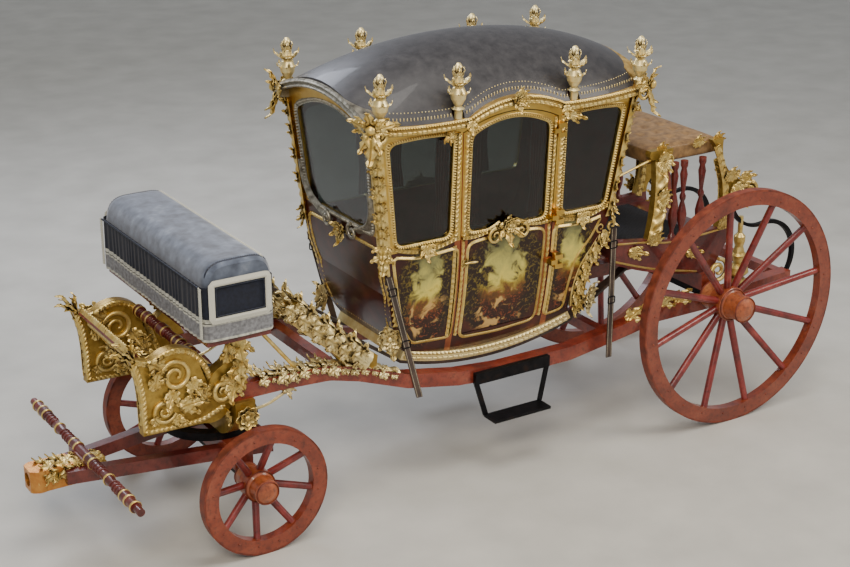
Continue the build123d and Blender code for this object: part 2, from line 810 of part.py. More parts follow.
# Roof: a leather-covered dome, lofted through arches across the body.
# Columns: place along X, height of the crown.
roof_inset = 8
end_crown_z = front_arch_z + cornice_depth
roof_rows = [
    (cornice_front_x - roof_inset, end_crown_z + 14),
    (480, crown_z - 42),
    (-120, crown_z),
    (-680, crown_z - 62),
    (cornice_rear_x + roof_inset, end_crown_z + 4),
]
roof_base_z = eaves_z - 10


def dome(shrink):
    """The dome's solid, made smaller all round by shrink."""
    faces = []
    for x, crown in roof_rows:
        half_width = cornice_half_width - roof_inset - shrink
        arch = outline((-half_width, roof_base_z), (0, crown - shrink, half_width, roof_base_z))
        plane = Plane(origin=(x, 0, 0), x_dir=(0, 1, 0), z_dir=(1, 0, 0))
        faces.append(plane * arch)
    return loft(faces)


roof = dome(0) - dome(roof_thickness)
roof = roof - (under_side_wave(cornice_depth) & along_sides) - (under_end_arch(cornice_depth) & along_ends)

# Finials: eight gilded vases on the cornice, each through a round hole in the leather's edge.
# Rows: share of the height, radius.
finial_turning = [(0, 25), (0.18, 25), (0.2, finial_collar), (0.26, 22), (0.4, 45), (0.52, finial_radius),
                  (0.62, 35), (0.68, 18), (0.74, 30), (0.86, 28), (0.94, 13), (1, 6)]
finial_foot_z = finial_top_z - finial_height
vase = upright([(share * finial_height, radius) for share, radius in finial_turning])
hole_radius = finial_collar + finial_gap
vase_hole = upright([(-0.2 * finial_height, hole_radius), (0.34 * finial_height, hole_radius)])
finials = Part()
for x in finial_places:
    place = Pos(x, finial_y, finial_foot_z)
    finials += both_sides((place * vase) - cornice)
    roof -= both_sides(place * vase_hole)
nodes["finials"] = finials
nodes["roof"] = max(roof.solids(), key=lambda solid: solid.volume)

# Leather braces that carry the body, from the front standards to the stand behind.
sill_front = (front_foot_x + sill_end, sill_end_z)
sill_rear = (rear_foot_x - sill_end, sill_end_z)
brace_mid_z = rocker_z - sill_depth
brace_face = outline(
    (front_brace_x, front_brace_z),
    sill_front,
    (rocker_x, brace_mid_z, *sill_rear),
    (rear_brace_x, rear_brace_z),
    (rear_brace_x + 8, rear_brace_z - brace_thickness),
    (sill_rear[0], sill_rear[1] - brace_thickness),
    (rocker_x, brace_mid_z - brace_thickness, sill_front[0], sill_front[1] - brace_thickness),
    (front_brace_x + 8, front_brace_z - brace_thickness),
)
brace = along_y(brace_face, brace_in_y, brace_in_y + brace_width)
nodes["braces"] = both_sides(brace)
# Columns: place along X, height, where the pin meets its post.
pin_rows = [
    (front_brace_x + 4, front_brace_z, standard_in_y),
    (rear_brace_x, rear_brace_z - 8, stand_in_y),
]
brace_pins = Part()
for x, z, end_y in pin_rows:
    pin = rod((x, brace_in_y - 10, z), (x, end_y, z), brace_pin_radius) - brace
    brace_pins += both_sides(max(pin.solids(), key=lambda solid: solid.volume))
nodes["brace_pins"] = brace_pins

# Check straps: four flat straps from the waist down past the perches' outer faces.
strap_y = perch_y + perch_width / 2
strap_rows = [(front_strap_x, front_strap_foot), (rear_strap_x, rear_strap_foot)]
check_straps = Part()
for top_x, (foot_x, foot_height) in strap_rows:
    half = strap_width / 2
    strap_face = outline((top_x + half, strap_top_z), (top_x - half, strap_top_z),
                         (foot_x - half, foot_height), (foot_x + half, foot_height))
    strap = along_y(strap_face, strap_y, strap_y + strap_thickness)
    boss_face = Pos(top_x, strap_top_z - 0.7 * strap_width) * Rectangle(0.9 * strap_width, 0.9 * strap_width)
    boss = along_y(boss_face, strap_y - 60, strap_y) - sides_out
    check_straps += both_sides(strap + boss)
nodes["check_straps"] = check_straps

# Steps: black iron, hung from the perches' outer faces below each door.
step_top = perch_middle_top - 4
hanger_y = strap_y + step_iron
step_front_x = door_front_x - 110
step_rear_x = door_rear_x + 10
step = block(step_rear_x, step_front_x, strap_y, hanger_y, step_top - 76, step_top)
tread_front_x = step_front_x - 70
tread_rear_x = step_rear_x + 70
for top_x, low_x in ((step_front_x - 12, tread_front_x - 6), (step_rear_x + 12, tread_rear_x + 6)):
    step += bar((top_x, strap_y + step_iron / 2, step_top - 70), (low_x, hanger_y, step_z), 12, step_iron)
step += block(tread_rear_x, tread_front_x, hanger_y - 8, step_out_y, step_z - 18, step_z)
nodes["steps"] = both_sides(step)

# Cross timbers between the perches. Columns: place along X of the rear face, underside.
inner_face = perch_y - perch_width / 2
timber_rows = [
    (front_axle_x - 700, perch_front_top - 127),
    (rear_axle_x + 800, perch_middle_top - 44),
    (rear_axle_x - perch_tail + 20, rear_wheel_radius - 64),
]
cross_timbers = Part()
for x, z in timber_rows:
    cross_timbers += block(x, x + cross_timber_length, -inner_face, inner_face, z, z + cross_timber_length)
nodes["cross_timbers"] = cross_timbers

# Footmen's stand over the rear axle: bed, side boards, board, four carved posts and padded top.
rear_axle_top = rear_wheel_radius + axle_bar / 2
rear_bed_half_width = rear_track / 2 + rear_nave[0][0] - 12
bed_front_x = rear_axle_x + bed_length / 2
bed_rear_x = rear_axle_x - bed_length / 2
nodes["rear_axle_bed"] = block(bed_rear_x, bed_front_x, -rear_bed_half_width, rear_bed_half_width,
                               rear_axle_top, rear_bed_top)
side_board_face = outline(
    (board_front_x + 5, side_board_z + 82),
    (stand_front_x - 235, side_board_z),
    (rear_axle_x - 180, side_board_z + 22),
    (rear_axle_x - 195, side_board_z - 68),
    (bed_rear_x, rear_bed_top),
    (bed_front_x, rear_bed_top),
    (stand_front_x - 135, side_board_z - 228, board_front_x + 5, side_board_z - 78),
)
stand_out_y = stand_in_y + stand_thickness
side_board = along_y(side_board_face, stand_in_y, stand_out_y)
nodes["stand_sides"] = both_sides(side_board)
board_rear_x = rear_axle_x - 170
footmen_face = outline(
    (board_front_x, side_board_z - 53),
    (board_rear_x, side_board_z - 73),
    (board_rear_x, side_board_z - 38),
    (board_front_x, side_board_z - 18),
)
post_foot_z = side_board_z - 28
front_lip = block(board_front_x - 35, board_front_x, -stand_in_y, stand_in_y, post_foot_z, post_foot_z + 90)
nodes["footmen_board"] = along_y(footmen_face, -stand_in_y, stand_in_y) + front_lip

post_top_z = stand_top_z - 10
front_post_face = outline(
    (stand_front_x + 30, post_foot_z),
    (stand_front_x - 30, post_foot_z + 340, stand_front_x - 20, post_top_z - 60),
    (stand_front_x + 25, post_top_z - 40, stand_front_x + 20, post_top_z),
    (stand_front_x - 165, post_top_z),
    (stand_front_x - 160, post_top_z - 40, stand_front_x - 125, post_top_z - 60),
    (stand_front_x - 135, post_foot_z + 340, stand_front_x - 80, post_foot_z),
)
rear_post_face = outline(
    (stand_rear_x + 20, post_foot_z),
    (stand_rear_x - 45, post_foot_z + 320, stand_rear_x + 95, post_top_z),
    (stand_rear_x - 5, post_top_z),
    (stand_rear_x - 100, post_foot_z + 410, stand_rear_x - 250, post_foot_z + 340),
    (stand_rear_x - 320, post_foot_z + 270, stand_rear_x - 260, post_foot_z + 200),
    (stand_rear_x - 140, post_foot_z + 150, stand_rear_x - 100, post_foot_z),
)
stand_posts = Part()
for face in (front_post_face, rear_post_face):
    stand_posts += both_sides(along_y(face, stand_in_y, stand_out_y) - side_board)
nodes["stand_posts"] = stand_posts
nodes["stand_top"] = block(stand_rear_x, stand_front_x, -stand_in_y, stand_in_y,
                           stand_top_z - stand_top_thickness, stand_top_z)

# Scroll irons from the rear posts' volutes down to the perches' tails.
tail_end_x = perch_top[-1][0]
tail_end_z = perch_top[-1][1]
iron_face = outline(
    (stand_rear_x - 140, post_foot_z + 200),
    (tail_post_x + 5, scroll_iron_z, tail_post_x - 200, scroll_iron_z - 55),
    (tail_end_x + 12, scroll_iron_z - 150, tail_end_x + 10, tail_end_z - 40),
    (tail_end_x + 10 + scroll_iron_depth, tail_end_z - 40),
    (tail_end_x + 34, scroll_iron_z - 175, tail_post_x - 200, scroll_iron_z - 55 - scroll_iron_depth),
    (tail_post_x + 15, scroll_iron_z - scroll_iron_depth, stand_rear_x - 112, post_foot_z + 185),
)
iron = along_y(iron_face, perch_y - scroll_iron_width / 2, perch_y + scroll_iron_width / 2)
iron_piece = max((iron - stand_posts - perch).solids(), key=lambda solid: solid.volume)
nodes["scroll_irons"] = both_sides(iron_piece)

# Turned posts on the perches' tails, up to the scroll irons. Rows: height above the tail, radius.
tail_foot_z = rear_wheel_radius - axle_bar / 2
spike_height = scroll_iron_z + 20 - tail_foot_z
tail_post_rows = [(-20, 60), (60, 60), (75, 40), (110, 78), (150, 70), (175, 32), (225, 42), (240, 60),
                  (255, 42), (300, 30), (340, 40), (375, 40), (400, 18),
                  (spike_height, 18)]
tail_post = Pos(tail_post_x, perch_y, tail_foot_z) * upright(tail_post_rows)
tail_post = (tail_post - perch - iron).solids()
tail_post = max(tail_post, key=lambda solid: solid.volume)
nodes["tail_posts"] = both_sides(tail_post)

# Gilded stay rods: from the body's rear pillars to the stand, and from the seat to the perches.
post_middle_y = stand_in_y + stand_thickness / 2
pillar_end = (rear_waist_x - 20, waist_half_width - 20, waist_z + 190)
post_end = (stand_front_x - 60, post_middle_y, post_top_z - 48)
rear_stay = rod(pillar_end, post_end, stay_radius) - (ends_out & sides_out) - stand_posts
rear_stay = max(rear_stay.solids(), key=lambda solid: solid.volume)
seat_end = (seat_rear_x + 40, perch_y, seat_board_z + 10)
perch_end = (seat_rear_x - seat_stay_reach, perch_y, perch_front_top - 20)
seat_stay = rod(seat_end, perch_end, 1.5 * stay_radius) - perch - nodes["seat_board"] - console
seat_stay = max(seat_stay.solids(), key=lambda solid: solid.volume)
nodes["stay_rods"] = both_sides(rear_stay) + both_sides(seat_stay)

for name, solid in nodes.items():
    export_step(Pos(-origin_x, 0, 0) * solid, "parts/" + name + ".step")
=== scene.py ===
import math
import random

import bpy
from mathutils import Matrix, Vector

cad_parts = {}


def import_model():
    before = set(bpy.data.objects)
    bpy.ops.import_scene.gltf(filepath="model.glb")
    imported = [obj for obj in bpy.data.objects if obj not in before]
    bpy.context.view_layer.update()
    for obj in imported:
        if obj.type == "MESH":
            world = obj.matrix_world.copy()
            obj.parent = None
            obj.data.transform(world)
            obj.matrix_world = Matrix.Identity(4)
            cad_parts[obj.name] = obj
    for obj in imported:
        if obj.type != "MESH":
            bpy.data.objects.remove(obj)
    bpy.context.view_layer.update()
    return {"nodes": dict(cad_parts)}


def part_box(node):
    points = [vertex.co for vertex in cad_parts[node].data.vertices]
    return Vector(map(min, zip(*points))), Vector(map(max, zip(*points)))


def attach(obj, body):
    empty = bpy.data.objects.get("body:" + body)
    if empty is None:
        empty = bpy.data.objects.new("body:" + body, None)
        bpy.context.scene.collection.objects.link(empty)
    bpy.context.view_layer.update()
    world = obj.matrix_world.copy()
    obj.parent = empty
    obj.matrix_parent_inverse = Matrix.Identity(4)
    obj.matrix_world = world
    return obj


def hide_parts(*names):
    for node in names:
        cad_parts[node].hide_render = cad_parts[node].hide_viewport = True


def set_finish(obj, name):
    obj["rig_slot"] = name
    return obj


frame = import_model()
nodes = frame["nodes"]


# The room
# A plain pale floor, a soft grey surround and four broad lamps high overhead,
# seen from a gallery above the coach's left front corner.

def linear(code):
    """A hex colour such as #a9472b as linear red, green, blue and alpha."""
    parts = [int(code[i:i + 2], 16) / 255 for i in (1, 3, 5)]
    return [p / 12.92 if p <= 0.04045 else ((p + 0.055) / 1.055) ** 2.4 for p in parts] + [1.0]


def add_node(material, kind, inputs=None, stops=(), **settings):
    """Add a node. An input takes a value or another node's output, and a ramp takes its stops."""
    made = material.node_tree.nodes.new(kind)
    for name, value in settings.items():
        setattr(made, name, value)
    for key, value in (inputs or {}).items():
        if isinstance(value, bpy.types.NodeSocket):
            material.node_tree.links.new(value, made.inputs[key])
        else:
            made.inputs[key].default_value = value
    if stops:
        elements = made.color_ramp.elements
        elements.remove(elements[1])
        elements[0].position = stops[0][0]
        elements[0].color = linear(stops[0][1])
        for place, code in stops[1:]:
            elements.new(place).color = linear(code)
    return made


def new_material(name):
    """A material with an empty node tree, and the place on the piece that its patterns read."""
    material = bpy.data.materials.new(name)
    material.use_nodes = True
    material.node_tree.nodes.clear()
    return material, add_node(material, "ShaderNodeTexCoord").outputs["Object"]


def surface(material, inputs):
    """Close a material with its shader and output."""
    shader = add_node(material, "ShaderNodeBsdfPrincipled", inputs)
    add_node(material, "ShaderNodeOutputMaterial", {"Surface": shader.outputs[0]})
    return material


def noise(material, where, patch_mm, detail=2.0, **more):
    """A value that drifts in patches patch_mm wide."""
    inputs = {"Vector": where, "Scale": 1000 / patch_mm, "Detail": detail, **more}
    return add_node(material, "ShaderNodeTexNoise", inputs).outputs["Fac"]


def ramp(material, value, *stops):
    """A colour that runs through stops, each a place from 0 to 1 and a hex code."""
    return add_node(material, "ShaderNodeValToRGB", {"Fac": value}, stops).outputs["Color"]


def mottled(name, patch_mm, detail, stops, rough, extra=None):
    """A finish of one pattern and one roughness."""
    material, where = new_material(name)
    tone = ramp(material, noise(material, where, patch_mm, detail), *stops)
    return surface(material, {"Base Color": tone, "Roughness": rough, **(extra or {})})


def alone(*objects):
    """Select these objects, or nothing."""
    bpy.ops.object.select_all(action="DESELECT")
    for piece in objects:
        piece.select_set(True)
    if objects:
        bpy.context.view_layer.objects.active = objects[0]


# Honed pale limestone: matt, with faint clouds a hand or two across.
stone = mottled("honed pale limestone", 450, 5.0, [(0.3, "#b3b1aa"), (0.7, "#c2c0b9")], 0.6)
alone()
bpy.ops.mesh.primitive_plane_add(size=40, location=(0, 0, 0))
floor_plane = bpy.context.object
floor_plane.name = "stone_floor"
floor_plane.data.materials.append(stone)

world = bpy.data.worlds.new("soft surround")
bpy.context.scene.world = world
world.use_nodes = True
world.node_tree.nodes["Background"].inputs["Color"].default_value = linear("#d3d6da")
world.node_tree.nodes["Background"].inputs["Strength"].default_value = 0.65

# Columns: place, aimed at, side in metres, power in watts, colour.
lamp_rows = [
    ((5.0, 6.5, 6.5), (0.0, 0.0, 1.2), 3.0, 470, "#fff1dc"),
    ((-5.5, 5.0, 6.0), (-0.5, 0.0, 1.3), 3.2, 330, "#fff6ea"),
    ((1.0, -6.0, 6.5), (0.0, 0.0, 1.6), 3.5, 380, "#eaf0ff"),
    ((0.5, 2.0, 8.5), (0.0, 0.3, 1.0), 4.0, 380, "#fffaf2"),
]


def aim(holder, place, target):
    """Put a lamp or camera in its place and turn it to its target."""
    holder.location = place
    holder.rotation_euler = (Vector(target) - Vector(place)).to_track_quat("-Z", "Y").to_euler()
    bpy.context.collection.objects.link(holder)


for place, target, side, power, colour in lamp_rows:
    lamp = bpy.data.lights.new("softbox", "AREA")
    lamp.size = side
    lamp.energy = power
    lamp.color = linear(colour)[:3]
    aim(bpy.data.objects.new("softbox", lamp), place, target)

eye = bpy.data.objects.new("camera", bpy.data.cameras.new("camera"))
aim(eye, (5.387, 8.525, 4.980), (0.127, 0.133, 1.201))
eye.data.lens = 70
bpy.context.scene.camera = eye


# Painted timber
# Perches, futchells, axle beds, boards and wheels are ash and oak under oil paint,
# brick red over an older dark red, rubbed pale where hands and straps pass.

def span(material, value, low=0.0, high=1.0, start=0.0, end=1.0, **settings):
    """A value mapped from low and high to start and end."""
    inputs = {"Value": value, "From Min": low, "From Max": high, "To Min": start, "To Max": end}
    return add_node(material, "ShaderNodeMapRange", inputs, **settings).outputs["Result"]


def mix(material, share, first, second, **settings):
    """A share of the second colour in the first."""
    inputs = {0: share, 6: first, 7: second}
    return add_node(material, "ShaderNodeMix", inputs, data_type="RGBA", **settings).outputs[2]


def bump(material, height, strength, depth):
    """A relief of this depth in metres."""
    inputs = {"Height": height, "Strength": strength, "Distance": depth}
    return add_node(material, "ShaderNodeBump", inputs).outputs["Normal"]


def stretched(material, where, place, scale):
    """The pattern's place moved and scaled by axis."""
    inputs = {"Vector": where, "Location": place, "Scale": scale}
    return add_node(material, "ShaderNodeMapping", inputs).outputs["Vector"]


def length_of(material, vector):
    """How long a vector is."""
    return add_node(material, "ShaderNodeVectorMath", {0: vector}, operation="LENGTH").outputs["Value"]


def painted_timber(name, old, coat, rubbed, rim=None):
    """Oil paint on wood. With rim, a wheel: dark red spokes between felloes and a copper nave."""
    material, where = new_material(name)
    clouds = noise(material, where, 160, 6.0, Roughness=0.62)
    colour = ramp(material, clouds, (0.28, old), (0.5, coat), (0.74, rubbed))
    if rim:
        axle_x, axle_z, felloe_reach, nave_reach = rim
        reach = length_of(material, stretched(material, where, (-axle_x, 0, -axle_z), (1, 0, 1)))
        spoke = ramp(material, clouds, (0.3, "#4a1512"), (0.55, "#7c2420"), (0.8, "#a04a3e"))
        nave = ramp(material, clouds, (0.3, "#6e2f17"), (0.55, "#a4562f"), (0.8, "#cf9263"))
        for edge, inner, outer in ((nave_reach, nave, spoke), (felloe_reach, None, colour)):
            share = span(material, reach, edge - 0.004, edge + 0.004)
            colour = mix(material, share, inner or colour, outer)
    # Dust and grease lie in patches some 25 mm wide.
    dust = noise(material, where, 25, 8.0, Roughness=0.7)
    grime = ramp(material, dust, (0.36, "#3a1a12"), (0.5, "#ffffff"))
    colour = mix(material, 0.45, colour, grime, blend_type="MULTIPLY")
    # Brush marks and wood grain, drawn 8 mm wide and 90 mm long so that they show.
    grain = stretched(material, where, (0, 0, 0), (1000 / 90, 1000 / 8, 1000 / 8))
    marks = noise(material, grain, 1000, 4.0)
    return surface(material, {"Base Color": colour, "Roughness": span(material, dust, start=0.24, end=0.55),
                              "Coat Weight": 0.4, "Normal": bump(material, marks, 0.25, 0.002)})


def paint(material, *names):
    """Give CAD nodes a material."""
    for name in names:
        for slot in nodes[name].material_slots:
            slot.material = material


def middle(name):
    """The middle of a CAD node's box."""
    low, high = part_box(name)
    return [(a + b) / 2 for a, b in zip(low, high)]


red_paint = painted_timber("brick red oil paint on ash", "#50190e", "#7e2e1b", "#964d34")
dark_red_paint = painted_timber("dark red oil paint on oak", "#3a0f0c", "#5f1e18", "#7e3a30")
paint(red_paint, "perches", "cross_timbers", "rear_axle_bed", "front_axle_bed")
paint(dark_red_paint, "futchells", "fore_sway_bar", "seat_board", "stand_sides", "footmen_board", "benches",
      "splinter_bar", "foot_rail", "footboard")
# Columns: end, colours, and how far the felloes and the nave reach.
for end, tones, felloe_reach, nave_reach in (("rear", ("#581f11", "#7c331b", "#8e492e"), 0.722, 0.120),
                                             ("front", ("#5d2011", "#81351c", "#944d33"), 0.304, 0.100)):
    hub = middle(f"{end}_tyre_left")
    wheel_paint = painted_timber(f"red oil paint on a {end} wheel", *tones,
                                 (hub[0], hub[2], felloe_reach, nave_reach))
    paint(wheel_paint, f"{end}_wheel_left", f"{end}_wheel_right")


# Ironwork
# Tyres, axles, turntable rings, steps and scroll irons are forged iron. The tyres took
# the wheels' paint at the sides, and the tread is rubbed bare.

def forged_iron(name, dark, pale, rust, metallic):
    """Hammered iron with rust blooms about 60 mm wide and hammer marks of 14 mm."""
    material, where = new_material(name)
    blooms = noise(material, where, 60, 7.0)
    hammer = add_node(material, "ShaderNodeTexVoronoi", {"Vector": where, "Scale": 1000 / 14},
                      feature="SMOOTH_F1").outputs["Distance"]
    return surface(material, {"Base Color": ramp(material, blooms, (0.32, dark), (0.56, pale), (0.72, rust)),
                              "Metallic": metallic, "Roughness": span(material, blooms, start=0.35, end=0.7),
                              "Normal": bump(material, hammer, 0.3, 0.0015)})


black_iron = forged_iron("black forged iron", "#0f0e10", "#1d1c1f", "#30241f", 0.8)
tyre_iron = forged_iron("forged iron tyre under red paint", "#54251a", "#7d3825", "#90492f", 0.2)
paint(black_iron, "front_axle", "rear_axle", "lower_ring", "upper_ring", "kingpin", "steps", "scroll_irons",
      "brace_pins")
paint(tyre_iron, "front_tyre_left", "front_tyre_right", "rear_tyre_left", "rear_tyre_right")


# Gilding
# Carved limewood under gesso, red bole and water gilding, burnished on the high parts. The hollows
# are darkened with painted shade in the colour of bole and old dirt.

def gilded(name, hollow_shade, leaf, light):
    """Gold leaf, with painted shade in a bole and dirt colour within about 30 mm of a hollow."""
    material, where = new_material(name)
    clouds = noise(material, where, 45, 6.0, Roughness=0.6)
    tone = ramp(material, clouds, (0.25, leaf), (0.8, light))
    # Painted shade: where the ambient occlusion finds a hollow, the gold darkens towards the hollow colour.
    open_sky = add_node(material, "ShaderNodeAmbientOcclusion", {"Distance": 0.03}, samples=4,
                        only_local=True)
    unshaded = span(material, open_sky.outputs["AO"], 0.40, 1.0)
    # Tool marks and cracked gesso, some 5 mm across.
    marks = noise(material, where, 5, 3.0)
    return surface(material, {"Base Color": mix(material, unshaded, linear(hollow_shade), tone), "Metallic": 0.72,
                              "Roughness": span(material, clouds, start=0.24, end=0.5),
                              "Normal": bump(material, marks, 0.25, 0.0015)})


# The first colour of each gilding is the painted shade in its hollows.
gold = gilded("burnished water gilding", "#3c2009", "#cfa744", "#f3e09a")
pale_gold = gilded("pale water gilding", "#4c3212", "#dcc27a", "#f6e9b6")
# The flat ground between the carving was never burnished and is rubbed down to the bole.
worn_gold = gilded("worn matt gilding", "#2a1505", "#896927", "#c1a251")
tip_gold = gilded("orange gilding on the tip", "#431a08", "#b4682c", "#d9a557")
paint(gold, "tail_posts", "stay_rods")
paint(worn_gold, "footboard_brackets", "seat_consoles", "front_transom", "stand_posts", "front_standards")
paint(tip_gold, "pole_socket")
paint(pale_gold, "finials", "sill_frame")


# Body walls
# Thin panels under dark red-brown lacquer with a painted vista in each, gilded pillars
# above the waist and crimson velvet inside. The vistas are plain foliage and cloud.

def split(material, vector):
    """A vector's three numbers."""
    return add_node(material, "ShaderNodeSeparateXYZ", {0: vector}).outputs


def reckon(material, operation, *values):
    """One sum on values."""
    return add_node(material, "ShaderNodeMath", dict(enumerate(values)), operation=operation).outputs[0]


def inside_mask(material, where, axis):
    """1 on faces that look into the cabin, for walls that stand across this axis."""
    facing = split(material, add_node(material, "ShaderNodeTexCoord").outputs["Normal"])[axis]
    product = reckon(material, "MULTIPLY", facing, split(material, where)[axis])
    return reckon(material, "LESS_THAN", product, -0.1)


def vista(material, where, clouds, leaves, x, z, half_width, half_height):
    """A painted view, middle x and z: its colour and the soft-edged mask of where it lies."""
    def between(value, low, high):
        return span(material, value, low, high, interpolation_type="SMOOTHSTEP")

    def add(first, second, times=1.0):
        return reckon(material, "MULTIPLY_ADD", second, times, first)

    def both(first, second):
        return reckon(material, "MULTIPLY", first, second)

    inside = stretched(material, where, (-x / half_width, 0, -z / half_height),
                       (1 / half_width, 0, 1 / half_height))
    sideways, _, rise = split(material, inside)
    aside = reckon(material, "ABSOLUTE", sideways)
    # Yellow evening sky over hills, and dark ground at the foot.
    high = add(add(rise, clouds, 0.9), leaves, 0.25)
    air = ramp(material, between(high, -0.7, 1.6), (0.02, "#1c0b06"), (0.30, "#3a1c0d"), (0.44, "#6b4618"),
               (0.54, "#a08a32"), (0.64, "#d2c25a"), (0.80, "#b4ab5a"), (0.96, "#77764a"))
    # Brown trees crowd in from both sides, their leaves lit in dabs.
    trees = between(add(add(aside, clouds, 1.3), rise, 0.10), 0.98, 1.22)
    foliage = mix(material, between(leaves, 0.50, 0.64), linear("#23130a"), linear("#66561f"))
    air = mix(material, trees, air, foliage)
    # Rocks and flowers in the foreground, sparse and warm.
    low_down = both(between(rise, 0.0, -0.25), between(aside, 0.80, 0.45))
    air = mix(material, both(between(leaves, 0.55, 0.63), low_down), air, linear("#7c3d1e"))
    air = mix(material, both(between(clouds, 0.55, 0.64), low_down), air, linear("#c39c5c"))
    return air, between(add(length_of(material, inside), clouds, 0.5), 1.44, 1.20)


# The waist's height, and how far from the middle plane the hinges begin.
waist, hinge_y = 1.60, 0.512


def lacquered_wall(name, axis, gilt_above, vistas=(), pillars=()):
    """Lacquer below a height and gilding above. Vistas: middle x and z, half width, half height.

    Pillars, copper brown below the waist: middle x and half width.
    """
    material, where = new_material(name)
    apart = split(material, where)
    shade = noise(material, where, 120, 5.0)
    colour = ramp(material, shade, (0.3, "#230a07"), (0.55, "#3c140c"), (0.8, "#5b2415"))
    # Clouds are brushed about 90 mm wide and leaves about 28 mm.
    clouds = noise(material, where, 90, 4.0, Distortion=0.6)
    leaves = noise(material, where, 28, 4.0, Distortion=1.4)
    for place in vistas:
        view, mask = vista(material, where, clouds, leaves, *place)
        colour = mix(material, mask, colour, view)
    for middle_x, half in pillars:
        copper = ramp(material, shade, (0.3, "#6a2f16"), (0.7, "#99552e"))
        colour = mix(material, reckon(material, "COMPARE", apart[0], middle_x, half), colour, copper)
    gilt = reckon(material, "GREATER_THAN", apart[2], gilt_above)
    if axis == 1:
        # The hinges stand proud of a side wall's face and are gilt as well.
        proud = reckon(material, "GREATER_THAN", reckon(material, "ABSOLUTE", apart[1]), hinge_y)
        gilt = reckon(material, "MAXIMUM", gilt, proud)
    leaf = ramp(material, shade, (0.2, "#c2963c"), (0.8, "#dcbb66"))
    within = inside_mask(material, where, axis)
    velvet = ramp(material, clouds, (0.3, "#981f22"), (0.7, "#c63a3a"))
    metal = reckon(material, "MULTIPLY", gilt, reckon(material, "SUBTRACT", 1.0, within))
    return surface(material, {"Base Color": mix(material, within, mix(material, gilt, colour, leaf), velvet),
                              "Metallic": metal,
                              "Roughness": reckon(material, "MULTIPLY_ADD", within, 0.55, 0.3),
                              "Coat Weight": 0.15, "Specular IOR Level": 0.3,
                              "Normal": bump(material, leaves, 0.12, 0.001)})


side_lacquer = lacquered_wall("painted lacquer on side panels", 1, waist,
                              [(0.33, 1.27, 0.22, 0.33), (-0.78, 1.28, 0.17, 0.32)],
                              [(0.12, 0.022), (-0.624, 0.022)])
door_lacquer = lacquered_wall("painted lacquer on a door", 1, waist, [(-0.25, 1.25, 0.31, 0.35)],
                              [(0.0725, 0.028), (-0.5725, 0.028)])
front_lacquer = lacquered_wall("dark brown lacquer on the front wall", 0, 1.70)
rear_lacquer = lacquered_wall("dark brown lacquer on the rear wall", 0, 2.40)
paint(side_lacquer, "body_side_left", "body_side_right")
paint(door_lacquer, "door_left", "door_right")
paint(front_lacquer, "front_wall", "floor")
paint(rear_lacquer, "rear_wall")

# Old plate glass, faintly green and tinted dark: painted shade for the dim cabin behind it. Smooth, with slow
# waves about 150 mm long.
plate, where = new_material("old plate glass")
surface(plate, {"Base Color": linear("#7b8381"), "Transmission Weight": 1.0, "Roughness": 0.02, "IOR": 1.45,
                "Specular IOR Level": 0.15, "Normal": bump(plate, noise(plate, where, 150, 1.0), 0.2, 0.004)})
paint(plate, "door_glass_left", "door_glass_right", "quarter_glass", "front_glass")


# Leather
# The roof is nailed dark hide over boards, polished grey by age. The braces and straps
# are thick harness leather, and the stand's top is padded brown hide.

def hide(name, dark, coat, light, pebble_mm, fold_mm, gloss, patch_mm=210):
    """Leather with grain of one size, slow folds of another and worn patches of a third."""
    material, where = new_material(name)
    patches = noise(material, where, patch_mm, 6.0, Roughness=0.6)
    pebble = add_node(material, "ShaderNodeTexVoronoi", {"Vector": where, "Scale": 1000 / pebble_mm})
    folds = noise(material, where, fold_mm, 3.0)
    relief = reckon(material, "MULTIPLY_ADD", pebble.outputs["Distance"], 0.25, folds)
    return surface(material, {"Base Color": ramp(material, patches, (0.3, dark), (0.52, coat), (0.75, light)),
                              "Roughness": span(material, patches, start=gloss, end=gloss + 0.22),
                              "Coat Weight": 0.15, "Normal": bump(material, relief, 0.35, 0.004)})


roof_hide = hide("polished grey roof leather", "#242224", "#302e30", "#3b393a", 6, 90, 0.32, 60)
strap_hide = hide("dark harness leather", "#1c1512", "#33261f", "#5c4a3e", 4, 60, 0.4)
brown_hide = hide("padded brown hide", "#5a4024", "#7c5e38", "#947248", 5, 60, 0.5, 45)
paint(roof_hide, "roof")
paint(strap_hide, "braces", "check_straps")
paint(brown_hide, "stand_top")


# Cornice and velvets
# The cornice is silver leaf in front and gold along the sides. The cushions are crimson
# silk velvet, whose short pile brightens at grazing angles, the seat blue-grey wool velvet.

leafing, where = new_material("silver and gold leaf on the cornice")
patina = noise(leafing, where, 40, 6.0)
in_front = span(leafing, split(leafing, where)[0], 0.66, 0.72)
leafing_tone = mix(leafing, in_front, ramp(leafing, patina, (0.3, "#a97f36"), (0.7, "#dcbd76")),
                   ramp(leafing, patina, (0.3, "#5d574c"), (0.7, "#a39c8c")))
surface(leafing, {"Base Color": leafing_tone, "Metallic": 0.8,
                  "Roughness": span(leafing, patina, start=0.28, end=0.55)})
paint(leafing, "cornice")
crimson = mottled("crimson silk velvet", 40, 6.0, [(0.3, "#4e0d10"), (0.7, "#8a1b1e")], 0.85,
                  {"Sheen Weight": 0.6, "Sheen Roughness": 0.4})
paint(crimson, "cushions")
blue_velvet = mottled("worn blue-grey velvet", 70, 7.0,
                      [(0.3, "#343b4a"), (0.6, "#5b6475"), (0.8, "#7d8592")], 0.9,
                      {"Sheen Weight": 0.4, "Sheen Roughness": 0.5})
paint(blue_velvet, "hammercloth")


# Carved side walls
# Window frames, pillar strips, waist rails and panel frames are carved limewood, gilded
# and pinned to the walls. A short length of each pattern is modelled once, repeated
# along a flat line and laid on the curved wall.

# Where the middle between the axles lies in the frame.
axles_middle_x = -0.170
# The left wall's outer face: its place at the waist, its slopes, and its curve below.
waist_y, upper_lean, lower_lean, lower_round = 0.5, 0.05625, 0.0384, 0.150
sill_z, panel_foot_z, window_head_z = 1.640, 0.93, 2.30
